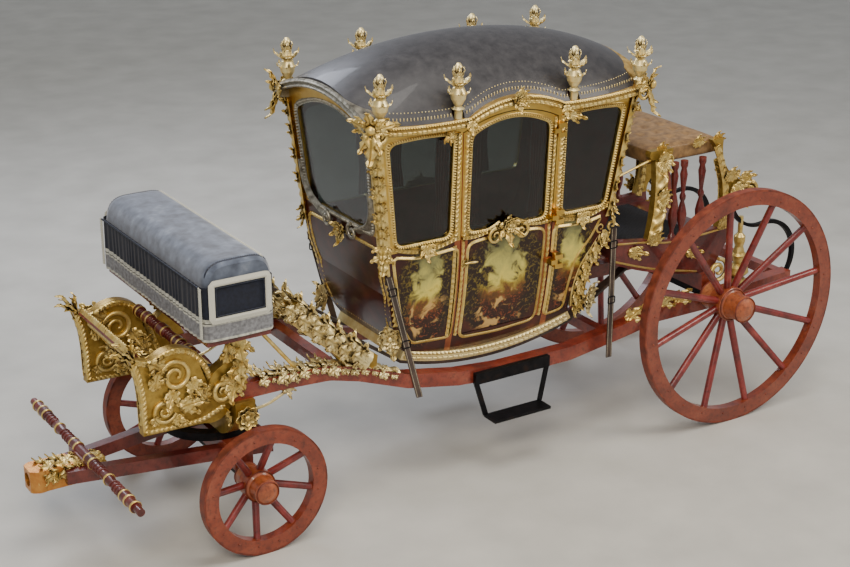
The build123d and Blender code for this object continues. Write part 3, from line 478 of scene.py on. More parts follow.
# How far leaves stand off the face that carries them.
leaf_lift = 0.012
up, down, out = Vector((0, 0, 1)), Vector((0, 0, -1)), Vector((0, 1, 0))


def here(x, y, z):
    """A place from a length measured forward of the middle between the axles."""
    return Vector((x + axles_middle_x, y, z))


def wall_y(z):
    """The left wall's outer face: leaning out above the waist, rounded below it."""
    below = max(0.0, waist - z)
    return waist_y + upper_lean * max(0.0, z - waist) - lower_lean * below - lower_round * below ** 2


def on_side(x, z, lift):
    """On the left wall."""
    return here(x, wall_y(z) + lift, z)


def husk(s, t):
    """Overlapping pointed leaves with a sunk rib: a height from 0 to 1."""
    tip = (s + 0.5 * abs(t)) % 1.0
    return (1 - abs(t) ** 3) * (0.3 + 0.7 * (1 - tip) ** 0.6) * (1 - 0.3 * math.exp(-(t / 0.15) ** 2))


def rope(s, t):
    """A twisted rope."""
    return max(0.0, 1 - t * t) ** 0.5 * (0.7 + 0.3 * math.cos(2 * math.pi * (s - 0.45 * t)))


def beads(s, t):
    """A row of beads between two fillets."""
    ball = max(0.0, 1 - ((s - 0.5) / 0.47) ** 2 - (t / 0.6) ** 2) ** 0.5
    fillet = 0.55 if 0.7 < abs(t) < 0.95 else 0.12 if abs(t) <= 0.7 else 0.0
    return max(ball, fillet)


def ogee(s, t):
    """A plain frame: a round inner edge, a hollow and a low outer edge."""
    return 0.25 + 0.75 * max(0.0, math.cos(1.9 * (t + 0.4))) if abs(t) < 0.98 else 0.0


def rounded(points, radius, closed=True):
    """A line with its corners rounded."""
    line = []
    count = len(points)
    for i, point in enumerate(points):
        if not closed and i in (0, count - 1):
            line.append(point)
            continue
        corner = Vector(point)
        before, after = Vector(points[i - 1]) - corner, Vector(points[(i + 1) % count]) - corner
        start = corner + before.normalized() * min(radius, before.length * 0.45)
        end = corner + after.normalized() * min(radius, after.length * 0.45)
        line += [tuple(start.lerp(corner, k / 4).lerp(corner.lerp(end, k / 4), k / 4)) for k in range(5)]
    return line


def flowing(points, steps=6):
    """A smooth open line through points of two or three numbers."""
    line = []
    knots = [Vector(p) for p in (points[0], *points, points[-1])]
    for a, b, c, d in zip(knots, knots[1:], knots[2:], knots[3:]):
        for k in range(steps):
            s = k / steps
            line.append(tuple(0.5 * ((2 * b) + (c - a) * s + (2 * a - 5 * b + 4 * c - d) * s ** 2
                                     + (3 * b - a - 3 * c + d) * s ** 3)))
    return line + [tuple(points[-1])]


def apply_all(piece):
    """Apply a piece's modifiers in their order."""
    alone(piece)
    for name in [m.name for m in piece.modifiers]:
        bpy.ops.object.modifier_apply(modifier=name)


# Points this near each other are joined, on carving and on cloth.
seam_reach, cloth_seam_reach = 0.0003, 0.0005
crease = math.radians(50)


def straight_curve(points, dimensions, closed=False):
    """A curve object with straight runs through points of two or three numbers."""
    path = bpy.data.curves.new("line", "CURVE")
    path.dimensions = dimensions
    spline = path.splines.new("POLY")
    spline.points.add(len(points) - 1)
    for knot, point in zip(spline.points, points):
        knot.co = (*point, 0, 1) if len(point) == 2 else (*point, 1)
    spline.use_cyclic_u = closed
    holder = bpy.data.objects.new("line", path)
    bpy.context.collection.objects.link(holder)
    return holder


def bent_grid(cells, shape):
    """An open sheet whose points are shape(s, t), with s from 0 to 1 and t from -1 to 1."""
    alone()
    bpy.ops.mesh.primitive_grid_add(x_subdivisions=cells[0], y_subdivisions=cells[1], size=1)
    piece = bpy.context.object
    for corner in piece.data.vertices:
        corner.co = shape(corner.co.x + 0.5, corner.co.y * 2)
    return piece


def strip(line, relief, pitch, width, height, place, closed=False, cells=(5, 6), under=0.004):
    """One carved moulding along a flat line of (u, v), laid on a surface by place(u, v, lift)."""
    ends = line[1:] + (line[:1] if closed else [])
    length = sum(math.dist(a, b) for a, b in zip(line, ends))
    count = max(1, round(length / pitch))
    step = length / count
    guide = straight_curve(line, "2D", closed)
    piece = bent_grid(cells, lambda s, t: (s * step, t * width / 2, height * relief(s, t)))
    row = piece.modifiers.new("row", "ARRAY")
    row.count = count
    row.use_relative_offset = False
    row.use_constant_offset = True
    row.constant_offset_displace = (step, 0, 0)
    row.use_merge_vertices = True
    row.merge_threshold = seam_reach
    piece.modifiers.new("bend", "CURVE").object = guide
    piece.modifiers.new("seam", "WELD").merge_threshold = seam_reach
    back = piece.modifiers.new("back", "SOLIDIFY")
    back.thickness = under
    back.offset = -1
    apply_all(piece)
    bpy.data.objects.remove(guide)
    for corner in piece.data.vertices:
        corner.co = place(*corner.co)
    return piece


def together(name, parts, material, body, slot_name):
    """Join parts into one piece with outward faces, give it its finish and let it ride."""
    alone(*parts)
    bpy.ops.object.join()
    piece = bpy.context.object
    piece.name = name
    bpy.ops.object.transform_apply(location=True, rotation=True, scale=True)
    bpy.ops.object.mode_set(mode="EDIT")
    bpy.ops.mesh.select_all(action="SELECT")
    bpy.ops.mesh.normals_make_consistent(inside=False)
    bpy.ops.object.mode_set(mode="OBJECT")
    bpy.ops.object.shade_smooth_by_angle(angle=crease)
    piece.data.materials.clear()
    piece.data.materials.append(material)
    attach(piece, body)
    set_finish(piece, slot_name)
    return piece


def on_both_sides(name, parts, material, body, slot_name):
    """A left piece and the same piece on the coach's other side, where left becomes right."""
    piece = together(name, parts, material, body, slot_name)
    twin = piece.copy()
    twin.data = piece.data.copy()
    twin.name = name.replace("left", "right")
    bpy.context.collection.objects.link(twin)
    twin.parent = None
    twin.matrix_world = Matrix.Identity(4)
    twin.data.transform(Matrix.Scale(-1, 4, (0, 1, 0)))
    twin.data.flip_normals()
    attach(twin, body.replace("left", "right"))
    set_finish(twin, piece["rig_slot"])


def grid_form(cells, shape, thick):
    """A closed sheet of one thickness, bent like an open one."""
    piece = bent_grid(cells, shape)
    piece.modifiers.new("thick", "SOLIDIFY").thickness = thick
    apply_all(piece)
    return piece


def acanthus_shape(s, t):
    """A lobed leaf 1 long that rises, ribs and curls over at its tip."""
    wave = math.cos(2 * math.pi * 3.4 * s)
    half = 0.34 * min(1.0, 6 * s + 0.25) * max(0.0, 1 - s) ** 0.55 * (1 + 0.3 * wave)
    along = s - 0.10 * abs(t) * (1 - s) - 0.42 * max(0.0, s - 0.76)
    lift = (0.10 + 0.26 * s ** 1.5 - 0.10 * t * t + 0.035 * abs(t) * wave
            - 0.05 * math.exp(-(t / 0.16) ** 2) + 0.5 * max(0.0, s - 0.78))
    return along, half * t, lift


def petal_shape(s, t):
    """A short rounded petal 1 long with its rim turned up."""
    half = 0.36 * math.sin(math.pi * min(1.0, s * 0.86 + 0.1)) ** 0.7
    return s, half * t, 0.08 + 0.20 * s ** 2 + 0.12 * t * t


acanthus = grid_form((12, 6), acanthus_shape, 0.03)
petal = grid_form((6, 4), petal_shape, 0.05)
alone()
bpy.ops.mesh.primitive_uv_sphere_add(segments=12, ring_count=8, radius=1)
boss = bpy.context.object
for corner in boss.data.vertices:
    swell = 1 + 0.06 * math.cos(6 * math.atan2(corner.co.y, corner.co.x))
    corner.co = (corner.co.x * swell, corner.co.y * swell, corner.co.z * 0.8)


def set_down(model, spots):
    """Copies of a model. Spots: place, direction, normal, length and width over length."""
    copies = []
    for place, direction, normal, size, breadth in spots:
        ahead = Vector(direction).normalized()
        outward = (Vector(normal) - ahead * ahead.dot(Vector(normal))).normalized()
        turn = Matrix((ahead, outward.cross(ahead), outward)).transposed().to_4x4()
        copy = model.copy()
        copy.data = model.data.copy()
        bpy.context.collection.objects.link(copy)
        copy.data.transform(Matrix.Translation(Vector(place)) @ turn
                            @ Matrix.Diagonal((size, size * breadth, size, 1)))
        copies.append(copy)
    return copies


def fan(place, axis, normal, size, count, spread, breadth, reach=0.0):
    """Leaves spread like a hand about an axis, each size long and starting reach from the middle."""
    spots = []
    for i in range(count):
        angle = math.radians(spread) * (i / (count - 1) - 0.5)
        ahead = Matrix.Rotation(angle, 3, Vector(normal)) @ Vector(axis).normalized()
        long = size * (1 - 0.28 * abs(2 * i / (count - 1) - 1))
        spots.append((Vector(place) + ahead * reach, ahead, normal, long, breadth))
    return set_down(acanthus, spots)


def rosette(place, normal, radius, petals=7):
    """A ring of petals round a boss."""
    place, normal = Vector(place), Vector(normal)
    side = normal.orthogonal()
    spots = []
    for ring_count, share, lift in ((petals, 1.0, 0.0), (petals - 2, 0.66, 0.18)):
        for i in range(ring_count):
            ahead = Matrix.Rotation(2 * math.pi * (i + lift) / ring_count, 3, normal) @ side
            spots.append((place + normal * radius * lift * 0.7, ahead, normal, radius * share, 1.1))
    middle_boss = set_down(boss, [(place + normal * radius * 0.2, side, normal, radius * 0.26, 1)])
    return set_down(petal, spots) + middle_boss


def tendril(points, radii, steps=5):
    """A round stem through places, its radius running through radii. Closed at both ends."""
    stem = straight_curve(flowing(points, steps), "3D")
    stem.data.bevel_depth = 1.0
    stem.data.bevel_resolution = 2
    stem.data.use_fill_caps = True
    knots = stem.data.splines[0].points
    for i, knot in enumerate(knots):
        share = i / (len(knots) - 1) * (len(radii) - 1)
        low = min(int(share), len(radii) - 2)
        knot.radius = radii[low] + (radii[low + 1] - radii[low]) * (share - low)
    alone(stem)
    bpy.ops.object.convert(target="MESH")
    return bpy.context.object


def volute(face, middle_u, middle_v, radius, turns, start, hand, lift, radii):
    """A stem rolled up on a face, from its outer end at angle start inward."""
    count = int(14 * turns)
    points = []
    for i in range(count + 1):
        share = i / count
        angle = math.radians(start) + hand * 2 * math.pi * turns * share
        reach = radius * (1 - share) ** 0.8 + radius * 0.16
        points.append(face(middle_u + reach * math.cos(angle), middle_v + reach * math.sin(angle), lift))
    return tendril(points, radii, 2)


def window_frame(bottom, top, spring, crown):
    """A beaded frame 14 mm outside a window with a low arched head."""
    margin = 0.014
    middle_x, half = (top[0] + top[1]) / 2, (top[1] - top[0]) / 2 + margin
    head = [(middle_x + half * c, spring + margin + (crown - spring) * (1 - c * c))
            for c in (1, 0.8, 0.55, 0.28, 0, -0.28, -0.55, -0.8, -1)]
    foot_z = sill_z - margin
    line = rounded([(bottom[0] - margin, foot_z), (bottom[1] + margin, foot_z), *head], 0.060)
    return strip(line, beads, 0.017, 0.030, 0.016, on_side, closed=True)


def panel_frame(line, radius):
    """A plain frame round a lower panel."""
    return strip(rounded(line, radius), ogee, 0.05, 0.020, 0.010, on_side, closed=True, cells=(2, 5))


def end_x(z, end):
    """Where the front (1) or rear (-1) wall's outer face stands."""
    if end > 0:
        rows = [(0.90, 0.625), (1.08, 0.72), (1.30, 0.76), (1.44, 0.80), (1.60, 0.82), (2.40, 0.905)]
    else:
        rows = [(0.90, -0.65), (1.13, -0.662), (1.29, -0.72), (1.43, -0.84), (1.60, -0.905), (2.40, -1.045)]
    for (low, a), (high, b) in zip(rows, rows[1:]):
        if z <= high:
            return a + (b - a) * (z - low) / (high - low)
    return rows[-1][1]


def on_corner(end):
    """Lays a strip on the body's edge: across runs round the corner and lift runs outward."""
    def place(across, z, lift):
        x = end_x(z, end) + end * (0.7 * (across + lift) - 0.012)
        return here(x, wall_y(z) - 0.012 + 0.7 * (lift - across), z)
    return place


# Columns: bottom x, top x, spring and crown of each quarter window.
side_parts = [window_frame((0.350, 0.725), (0.345, 0.800), 2.285, 2.300),
              window_frame((-0.835, -0.505), (-0.935, -0.500), 2.285, 2.300)]
# Pillar strips beside the door, from the waist up and from the waist down.
for x in (0.308, -0.464):
    side_parts.append(strip([(x, sill_z), (x, window_head_z)], rope, 0.032, 0.030, 0.018, on_side))
    side_parts.append(strip([(x, panel_foot_z), (x, 1.57)], husk, 0.036, 0.026, 0.014, on_side))
side_parts.append(strip([(0, 1.10), (0, 1.56)], rope, 0.040, 0.050, 0.020, on_corner(1)))
# Each corner post: a husk strip, leaves up it, and foliage at the waist and under the roof.
for end in (1, -1):
    corner_out = Vector((end, 1, 0)).normalized()
    side_parts.append(strip([(0, 1.56), (0, 2.345)], husk, 0.055, 0.085, 0.034, on_corner(end), cells=(6, 8)))
    for i in range(6):
        sway = (-1) ** i * 0.45
        place = on_corner(end)(0, 1.73 + 0.08 * i, leaf_lift)
        side_parts += fan(place, (-end * sway, sway, 1), corner_out, 0.095, 3, 80, 0.85)
    for z, size, ahead in ((1.60, 0.13, down), (1.66, 0.11, down), (2.33, 0.13, up), (2.26, 0.11, up)):
        side_parts += fan(here(end_x(z, end), wall_y(z), z), ahead, corner_out, size, 3, 130, 0.95)
# Waist rails, dipping under each quarter window.
for line in ([(0.80, 1.640), (0.72, 1.618), (0.62, 1.590), (0.52, 1.580), (0.42, 1.590), (0.290, 1.622)],
             [(-0.445, 1.622), (-0.54, 1.592), (-0.64, 1.582), (-0.74, 1.592), (-0.88, 1.640)]):
    side_parts.append(strip(flowing(line), husk, 0.030, 0.034, 0.020, on_side))
for line in ([(0.285, 1.555), (0.285, 0.925), (0.575, 0.945), (0.655, 1.08), (0.705, 1.28), (0.735, 1.44),
              (0.755, 1.575), (0.62, 1.545), (0.52, 1.535), (0.42, 1.545)],
             [(-0.445, 1.555), (-0.54, 1.547), (-0.66, 1.540), (-0.76, 1.548), (-0.835, 1.57), (-0.755, 1.43),
              (-0.645, 1.30), (-0.61, 1.10), (-0.60, 0.935), (-0.445, 0.915)]):
    side_parts.append(panel_frame(line, 0.04))
for x in (0.52, -0.66):
    side_parts += fan(on_side(x, waist, leaf_lift), down, out, 0.10, 5, 210, 0.9)
for x, side in ((0.345, 1), (-0.50, -1)):
    side_parts += fan(on_side(x, 2.305, leaf_lift), (side, 0, -0.35), out, 0.13, 3, 60, 0.7)
on_both_sides("side_carving_left", side_parts, gold, "coach", "gilding")


# Carved doors
# Each door has its own gilt window frame, rope strips on both edges, a waist rail that
# rises to a shell, and a framed vista. They ride on the door and turn with it.

door_x, handle_x = -0.08, 0.236
door_parts = [window_frame((-0.365, 0.208), (-0.365, 0.208), 2.255, 2.340)]
for x in (0.247, -0.405):
    door_parts.append(strip([(x, 1.625), (x, window_head_z)], rope, 0.032, 0.024, 0.016, on_side))
    door_parts.append(strip([(x, panel_foot_z), (x, 1.59)], rope, 0.036, 0.020, 0.014, on_side))
for line in ([(0.258, 1.610), (0.16, 1.606), (0.06, 1.626), (-0.02, 1.662)],
             [(-0.418, 1.610), (-0.32, 1.606), (-0.22, 1.626), (-0.14, 1.662)]):
    door_parts.append(strip(flowing(line), husk, 0.030, 0.032, 0.020, on_side))
door_parts.append(panel_frame([(0.215, 1.565), (0.10, 1.575), (-0.08, 1.590), (-0.26, 1.575), (-0.375, 1.565),
                               (-0.375, 0.905), (-0.08, 0.885), (0.215, 0.900)], 0.06))
crown = on_side(door_x, sill_z, leaf_lift)
door_parts += fan(crown, up, out, 0.085, 5, 190, 0.9)
door_parts += fan(crown, down, out, 0.15, 5, 200, 0.8)
door_parts += rosette(crown + out * leaf_lift, out, 0.045)
for side in (1, -1):
    door_parts.append(volute(on_side, door_x + side * 0.10, 1.585, 0.045, 1.3, 90, -side, 0.02,
                             [0.012, 0.007]))
door_parts += rosette(on_side(handle_x, 1.44, 0.004), out, 0.024, 6)
handle = [on_side(handle_x, 1.44, 0.016), on_side(0.20, 1.445, 0.030), on_side(0.15, 1.440, 0.028)]
door_parts.append(tendril(handle, [0.006, 0.007, 0.009, 0.005], 4))
on_both_sides("door_carving_left", door_parts, gold, "left_door", "gilding")


# End walls, cornice and sill
# The front window's frame is silvered and curls into brackets at its foot. A gilt wave
# moulding runs along the sides under the roof, a double silvered one over the front.

def on_end(end):
    """Lays a strip on the front (1) or rear (-1) wall."""
    def place(y, z, lift):
        return here(end_x(z, end) + end * lift, y, z)
    return place


def on_face(y, outward=1):
    """Lays a strip on a board that stands along the coach, on its outer or inner face."""
    def place(x, z, lift):
        return here(x, y + outward * lift, z)
    return place


def toward(angle, across=False):
    """A direction this many degrees up from forward, or from the coach's left."""
    level, rise = math.cos(math.radians(angle)), math.sin(math.radians(angle))
    return Vector((0, level, rise)) if across else Vector((level, 0, rise))


silver, where = new_material("tarnished silver leaf")
bloom = noise(silver, where, 30, 6.0)
surface(silver, {"Base Color": ramp(silver, bloom, (0.3, "#6b665a"), (0.7, "#bdb8a8")), "Metallic": 0.85,
                 "Roughness": span(silver, bloom, start=0.25, end=0.5)})

front_line = [(-0.439 * c, 2.334 + 0.12 * (1 - c * c)) for c in (-1, -0.8, -0.5, -0.2, 0.2, 0.5, 0.8, 1)]
front_line = rounded([(-0.409, 1.706), (0.409, 1.706), *front_line], 0.06)
silver_parts = [strip(front_line, beads, 0.02, 0.036, 0.018, on_end(1), closed=True)]
frame_foot = [(0.432, 1.98), (0.425, 1.86), (0.37, 1.76), (0.28, 1.71), (0.20, 1.68)]
for side in (1, -1):
    foot = [(side * y, z) for y, z in frame_foot]
    silver_parts.append(strip(flowing(foot), ogee, 0.05, 0.05, 0.026, on_end(1), cells=(2, 6)))
    silver_parts.append(volute(on_end(1), side * 0.16, 1.66, 0.045, 1.3, 90, side, 0.02, [0.014, 0.008]))
together("front_window_frame", silver_parts, silver, "coach", "cornice_grey")

end_parts = []
panel = rounded([(-0.44, 1.62), (-0.41, 1.30), (-0.36, 0.97), (0.36, 0.97), (0.41, 1.30), (0.44, 1.62)], 0.05)
for end in (1, -1):
    ahead = Vector((end, 0, 0))
    end_parts.append(strip(panel, husk, 0.03, 0.024, 0.012, on_end(end), closed=True))
    end_parts += fan(on_end(end)(0, 1.64, 0.01), down, ahead, 0.13, 5, 200, 0.9)
    end_parts += rosette(on_end(end)(0, 1.63, 0.02), ahead, 0.05)
rear_line = rounded([(-0.44, 1.70), (0.44, 1.70), (0.47, 2.30), (0.25, 2.40), (0, 2.43), (-0.25, 2.40),
                     (-0.47, 2.30)], 0.06)
end_parts.append(strip(rear_line, husk, 0.03, 0.030, 0.014, on_end(-1), closed=True))
# A cartouche of leaves and scrolls in the middle of the rear wall.
centre = on_end(-1)(0, 2.05, leaf_lift)
for angle, size, count, spread in ((90, 0.20, 5, 120), (270, 0.22, 5, 120), (0, 0.17, 3, 60),
                                   (180, 0.17, 3, 60)):
    end_parts += fan(centre, toward(angle, across=True), (-1, 0, 0), size, count, spread, 0.8, 0.05)
end_parts += rosette(centre + Vector((-leaf_lift, 0, 0)), (-1, 0, 0), 0.09, 9)
for side in (1, -1):
    for z, radius, start in ((2.19, 0.055, 270), (1.90, 0.050, 90)):
        end_parts.append(volute(on_end(-1), side * 0.21, z, radius, 1.5, start, side, 0.014,
                                [0.010, 0.013, 0.007]))
together("end_wall_carving", end_parts, gold, "coach", "gilding")

cornice_out, cornice_foot, cornice_rise, cornice_sag = 0.600, 2.345, 0.035, 0.062
door_arch, arch_half = 0.085, 0.35
end_foot, end_arch, cornice_rear, cornice_front = 2.380, 0.145, -1.110, 0.965


def wave_z(x):
    """The cornice's underside along the sides: an arch over the door, low at the pillars."""
    if abs(x - door_x) <= arch_half:
        return cornice_foot + door_arch * (1 - ((x - door_x) / arch_half) ** 2)
    start, end = (door_x + arch_half, cornice_front) if x > 0 else (door_x - arch_half, cornice_rear)
    reach = (x - start) / (end - start)
    return cornice_foot + cornice_rise * reach - cornice_sag * reach * (1 - reach)


def on_cornice(x, z, lift):
    """On the left cornice, z above its wavy underside."""
    return here(x, cornice_out + lift, wave_z(x) + z)


def on_cornice_end(edge_x, end):
    """Lays a strip on the arched cornice over the front (1) or rear (-1) wall."""
    def place(y, z, lift):
        return here(edge_x + end * lift, y, end_foot + end_arch * (1 - (y / cornice_out) ** 2) + z)
    return place


cornice_parts = []
for z, relief, pitch, width, height in ((0.014, husk, 0.034, 0.032, 0.018),
                                        (0.044, beads, 0.018, 0.022, 0.012)):
    cornice_parts.append(strip([(-1.105, z), (0.96, z)], relief, pitch, width, height, on_cornice))
cornice_parts += fan(on_cornice(door_x, 0.035, leaf_lift), up, out, 0.10, 5, 150, 0.9)
cornice_parts += fan(on_cornice(door_x, 0.030, leaf_lift), down, out, 0.09, 5, 190, 0.9)
cornice_parts += rosette(on_cornice(door_x, 0.030, 0.022), out, 0.032)
for x in (door_x + arch_half, door_x - arch_half):
    cornice_parts += fan(on_cornice(x, 0.03, leaf_lift), down, out, 0.085, 3, 100, 0.9)
for x, end in ((0.945, 1), (-1.09, -1)):
    corner_out = Vector((end, 1, 0)).normalized()
    place = here(x, 0.590, 2.425)
    cornice_parts += fan(place, (0.2 * end, 0, 1), corner_out, 0.14, 3, 90, 0.85)
    cornice_parts += fan(place + down * 0.02, down, corner_out, 0.21, 3, 60, 0.75)
    cornice_parts += fan(here(x - end * 0.02, 0.603, 2.42), (-end, 0, 0.25), out, 0.15, 3, 70, 0.8)
    cornice_parts += fan(here(x + end * 0.02, 0.55, 2.42), (0, -1, 0.3), (end, 0, 0), 0.14, 3, 70, 0.8)
    cornice_parts.append(volute(on_face(0.612), x - end * 0.045, 2.375, 0.040, 1.4, 90, end, 0,
                                [0.010, 0.013, 0.007]))
    cornice_parts += set_down(boss, [(place + corner_out * 0.028, up, corner_out, 0.030, 1)])
on_both_sides("cornice_carving_left", cornice_parts, gold, "coach", "gilding")

edge_parts = [strip([(-0.56, z), (0.56, z)], ogee, 0.05, 0.026, 0.014, on_cornice_end(cornice_front, 1),
                    cells=(2, 6)) for z in (0.012, 0.042)]
together("front_cornice_moulding", edge_parts, silver, "coach", "cornice_grey")
rear_edge = strip([(-0.56, 0.025), (0.56, 0.025)], husk, 0.034, 0.045, 0.018,
                  on_cornice_end(cornice_rear, -1))
together("rear_cornice_moulding", [rear_edge], gold, "coach", "gilding")

sill_y, sill_foot, sill_rise, sill_low_x, sill_half = 0.403, 0.805, 0.095, -0.03, 0.64


def on_sill(x, z, lift):
    """On the left sill, z above the body's lower edge, which is lowest near its middle."""
    return here(x, sill_y + lift, sill_foot + sill_rise * ((x - sill_low_x) / sill_half) ** 2 + z)


def on_band(x, z, lift):
    """Along the body's rear corner, half on the wall and half beyond it."""
    return here(x, wall_y(z) - 0.022 + lift, z)


sill_parts = [strip([(-0.64, -0.012), (0.62, -0.012)], beads, 0.03, 0.024, 0.012, on_sill),
              strip([(-0.64, -0.044), (0.62, -0.044)], husk, 0.04, 0.026, 0.014, on_sill)]
for x, y, z, end in ((0.735, 0.425, 1.02, 1), (-0.775, 0.450, 1.00, -1)):
    corner_out = Vector((end * 0.6, 1, 0)).normalized()
    place = here(x, y, z)
    sill_parts += rosette(place, corner_out, 0.078, 8)
    sill_parts += fan(place, (-0.2 * end, 0, -1), corner_out, 0.15, 3, 110, 0.95)
    sill_parts += fan(place, (0.3 * end, 0, 1), corner_out, 0.13, 3, 90, 0.95)
on_both_sides("sill_carving_left", sill_parts, pale_gold, "coach", "gilding")

# A carved scroll wraps each rear corner of the body, from the waist down to a rosette.
band = [(-0.875, 1.445), (-0.815, 1.355), (-0.745, 1.245), (-0.712, 1.13), (-0.708, 1.03), (-0.720, 0.935)]
band_parts = [strip(flowing(band), husk, 0.052, 0.105, 0.034, on_band, cells=(8, 10), under=0.030)]
for edge, size in ((-0.050, 0.013), (0.046, 0.011)):
    rim = [on_band(x + edge, z, 0.014) for x, z in band]
    band_parts.append(tendril(rim, [size * 0.7, size, size, size * 0.8], 4))
    band_parts.append(volute(on_band, band[0][0] + edge, band[0][1] + 0.034, 0.030, 1.1, 270, 1, 0.016,
                             [size * 0.8, size * 0.6]))
for i, (x, z) in enumerate(flowing(band, 2)):
    band_parts += fan(on_band(x, z, 0.018), toward(245 if i % 2 else 290), out, 0.095, 3, 70, 0.85)
on_both_sides("rear_scroll_left", band_parts, gold, "coach", "gilding")

# Leaves and a flower on each of the eight vases. Columns: height, leaf, how steep, first angle.
leaf_rings = [(2.530, 0.080, 0.4, 0), (2.600, 0.095, 0.35, 36), (2.640, 0.075, 1.5, 0)]
vase_y, leaf_count = 0.572, 5
vase_parts = []
for x in (0.877, 0.340, -0.513, -1.031):
    for z, size, rise, first in leaf_rings:
        for i in range(leaf_count):
            angle = math.radians(360 * i / leaf_count + first)
            away = Vector((math.cos(angle), math.sin(angle), 0))
            vase_parts += set_down(acanthus, [(here(x, vase_y, z) + away * 0.018, away + up * rise,
                                               up - away * rise, size, 0.9)])
    vase_parts += set_down(boss, [(here(x, vase_y, 2.700), up, (1, 0, 0), 0.036, 0.6)])
on_both_sides("vase_leaves_left", vase_parts, pale_gold, "coach", "gilding")

# A row of long gilt staples and a row of dome-headed nails along the leather's lower edge.
alone()
bpy.ops.mesh.primitive_uv_sphere_add(segments=8, ring_count=4, radius=0.0055)
nail = bpy.context.object
nail_parts = []
first_nail_x, nail_pitch, nail_count = -1.07, 0.0225, 88
# Columns: how far the row lies above the cornice's foot, and how tall a nail is for its width.
for row, tall in ((0.082, 3.0), (0.118, 0.8)):
    for i in range(nail_count):
        x = first_nail_x + i * nail_pitch
        for side in (1, -1):
            origin = here(x, side * 0.9, wave_z(x) + row)
            hit, place, _, _ = nodes["roof"].ray_cast(origin, -side * out)
            if hit:
                copy = nail.copy()
                copy.data = nail.data.copy()
                copy.data.transform(Matrix.Translation(place) @ Matrix.Diagonal((0.7, 0.7, tall, 1)))
                bpy.context.collection.objects.link(copy)
                nail_parts.append(copy)
bpy.data.objects.remove(nail)
together("roof_nails", nail_parts, pale_gold, "coach", "gilding")


# Coachman's seat
# A stuffed seat under blue-grey velvet with a fluted navy valance and a plain skirt,
# bound with off-white braid. Each end shows a square panel in a braided frame.

def banded_cloth(name, bands):
    """Wool velvet whose colour changes with height. Bands: height and colour, from the bottom up."""
    material, where = new_material(name)
    low, high = bands[0][0], bands[-1][0] + 0.20
    share = span(material, split(material, where)[2], low, high)
    stops = [((z - low) / (high - low), code) for z, code in bands]
    tone = add_node(material, "ShaderNodeValToRGB", {"Fac": share}, stops)
    tone.color_ramp.interpolation = "CONSTANT"
    worn = ramp(material, noise(material, where, 20, 7.0), (0.3, "#9a9a9a"), (0.65, "#ffffff"))
    mixed = mix(material, 0.8, tone.outputs["Color"], worn, blend_type="MULTIPLY")
    return surface(material, {"Base Color": mixed, "Roughness": 0.95, "Sheen Weight": 0.08,
                              "Sheen Roughness": 0.5})


seat_low, seat_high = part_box("hammercloth")
seat_middle = (seat_low + seat_high) / 2
seat_half = (seat_high - seat_low) / 2


def seat_shape(s, t):
    """The roll of the upholstery: round its profile by s and along its length by t."""
    c, d = math.cos(2 * math.pi * s), math.sin(2 * math.pi * s)
    x = math.copysign(abs(c) ** 0.45, c)
    z = math.copysign(abs(d) ** (0.62 if d > 0 else 0.2), d)
    reach = min(1.0, abs(t) / 0.97)
    shrink = 1 - 0.10 * max(0.0, (reach - 0.93) / 0.07) ** 2 if abs(t) < 0.985 else 0.0
    lean = 0.05 * (z + 1) * (1 - x) * 0.5
    return (seat_middle.x + (x - lean) * shrink * (seat_half.x - 0.012),
            seat_middle.y + math.copysign(reach, t) * (seat_half.y - 0.012),
            seat_middle.z + z * shrink * (seat_half.z - 0.001))


seat = bent_grid((48, 66), seat_shape)
seat.modifiers.new("seam", "WELD").merge_threshold = cloth_seam_reach
apply_all(seat)
seat = together("hammercloth_seat", [seat], blue_velvet, "coach", "blue_velvet")
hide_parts("hammercloth")

# The valance and skirt: one length of cloth hung round the seat in soft flutes.
valance_top, valance_foot = 1.730, 1.405
valance_drop = valance_top - valance_foot
flute_depth, flute_count = 0.0042, 72
round_line = rounded([(seat_low.x, seat_low.y), (seat_high.x, seat_low.y), (seat_high.x, seat_high.y),
                      (seat_low.x, seat_high.y)], 0.05)
round_sides = list(zip(round_line, round_line[1:] + round_line[:1]))
round_length = sum(math.dist(a, b) for a, b in round_sides)


def round_seat(share):
    """The place at a share of the way round the seat, and the way outward there."""
    left = share * round_length
    for a, b in round_sides:
        step = math.dist(a, b)
        if left <= step:
            along = (Vector(b) - Vector(a)) / step
            return Vector(a) + along * left, Vector((along.y, -along.x))
        left -= step
    return Vector(round_line[0]), Vector((0, -1))


def valance_shape(s, t):
    """Round the seat by s and up from the hem by t, in uneven flutes."""
    place, outward = round_seat(min(s, 0.99999))
    fall = (1 - t) / 2
    uneven = 0.5 * math.sin(2 * math.pi * 17 * s) + 0.7 * math.sin(2 * math.pi * 7 * s + 2)
    flutes = math.cos(2 * math.pi * flute_count * s + 2 * uneven) * abs(outward.x) ** 2
    flutes *= 0.75 + 0.25 * uneven
    swing = flute_depth * flutes * min(1.0, 0.3 + fall) + 0.003 * math.sin(2 * math.pi * 9 * s + 1) * fall
    place = place + outward * (swing + 0.002)
    return place.x, place.y, valance_foot + valance_drop * (1 - fall)


valance = bent_grid((840, 10), valance_shape)
valance.modifiers.new("seam", "WELD").merge_threshold = cloth_seam_reach
valance.modifiers.new("thick", "SOLIDIFY").thickness = 0.003
apply_all(valance)
cloth = banded_cloth("navy velvet valance over a grey skirt",
                     [(1.40, "#c4c4b8"), (1.418, "#85868a"), (1.500, "#c8c8bc"), (1.512, "#22242c"),
                      (1.518, "#c8c8bc"), (1.540, "#151b2c")])
valance = together("hammercloth_valance", [valance], cloth, "coach", "blue_velvet")

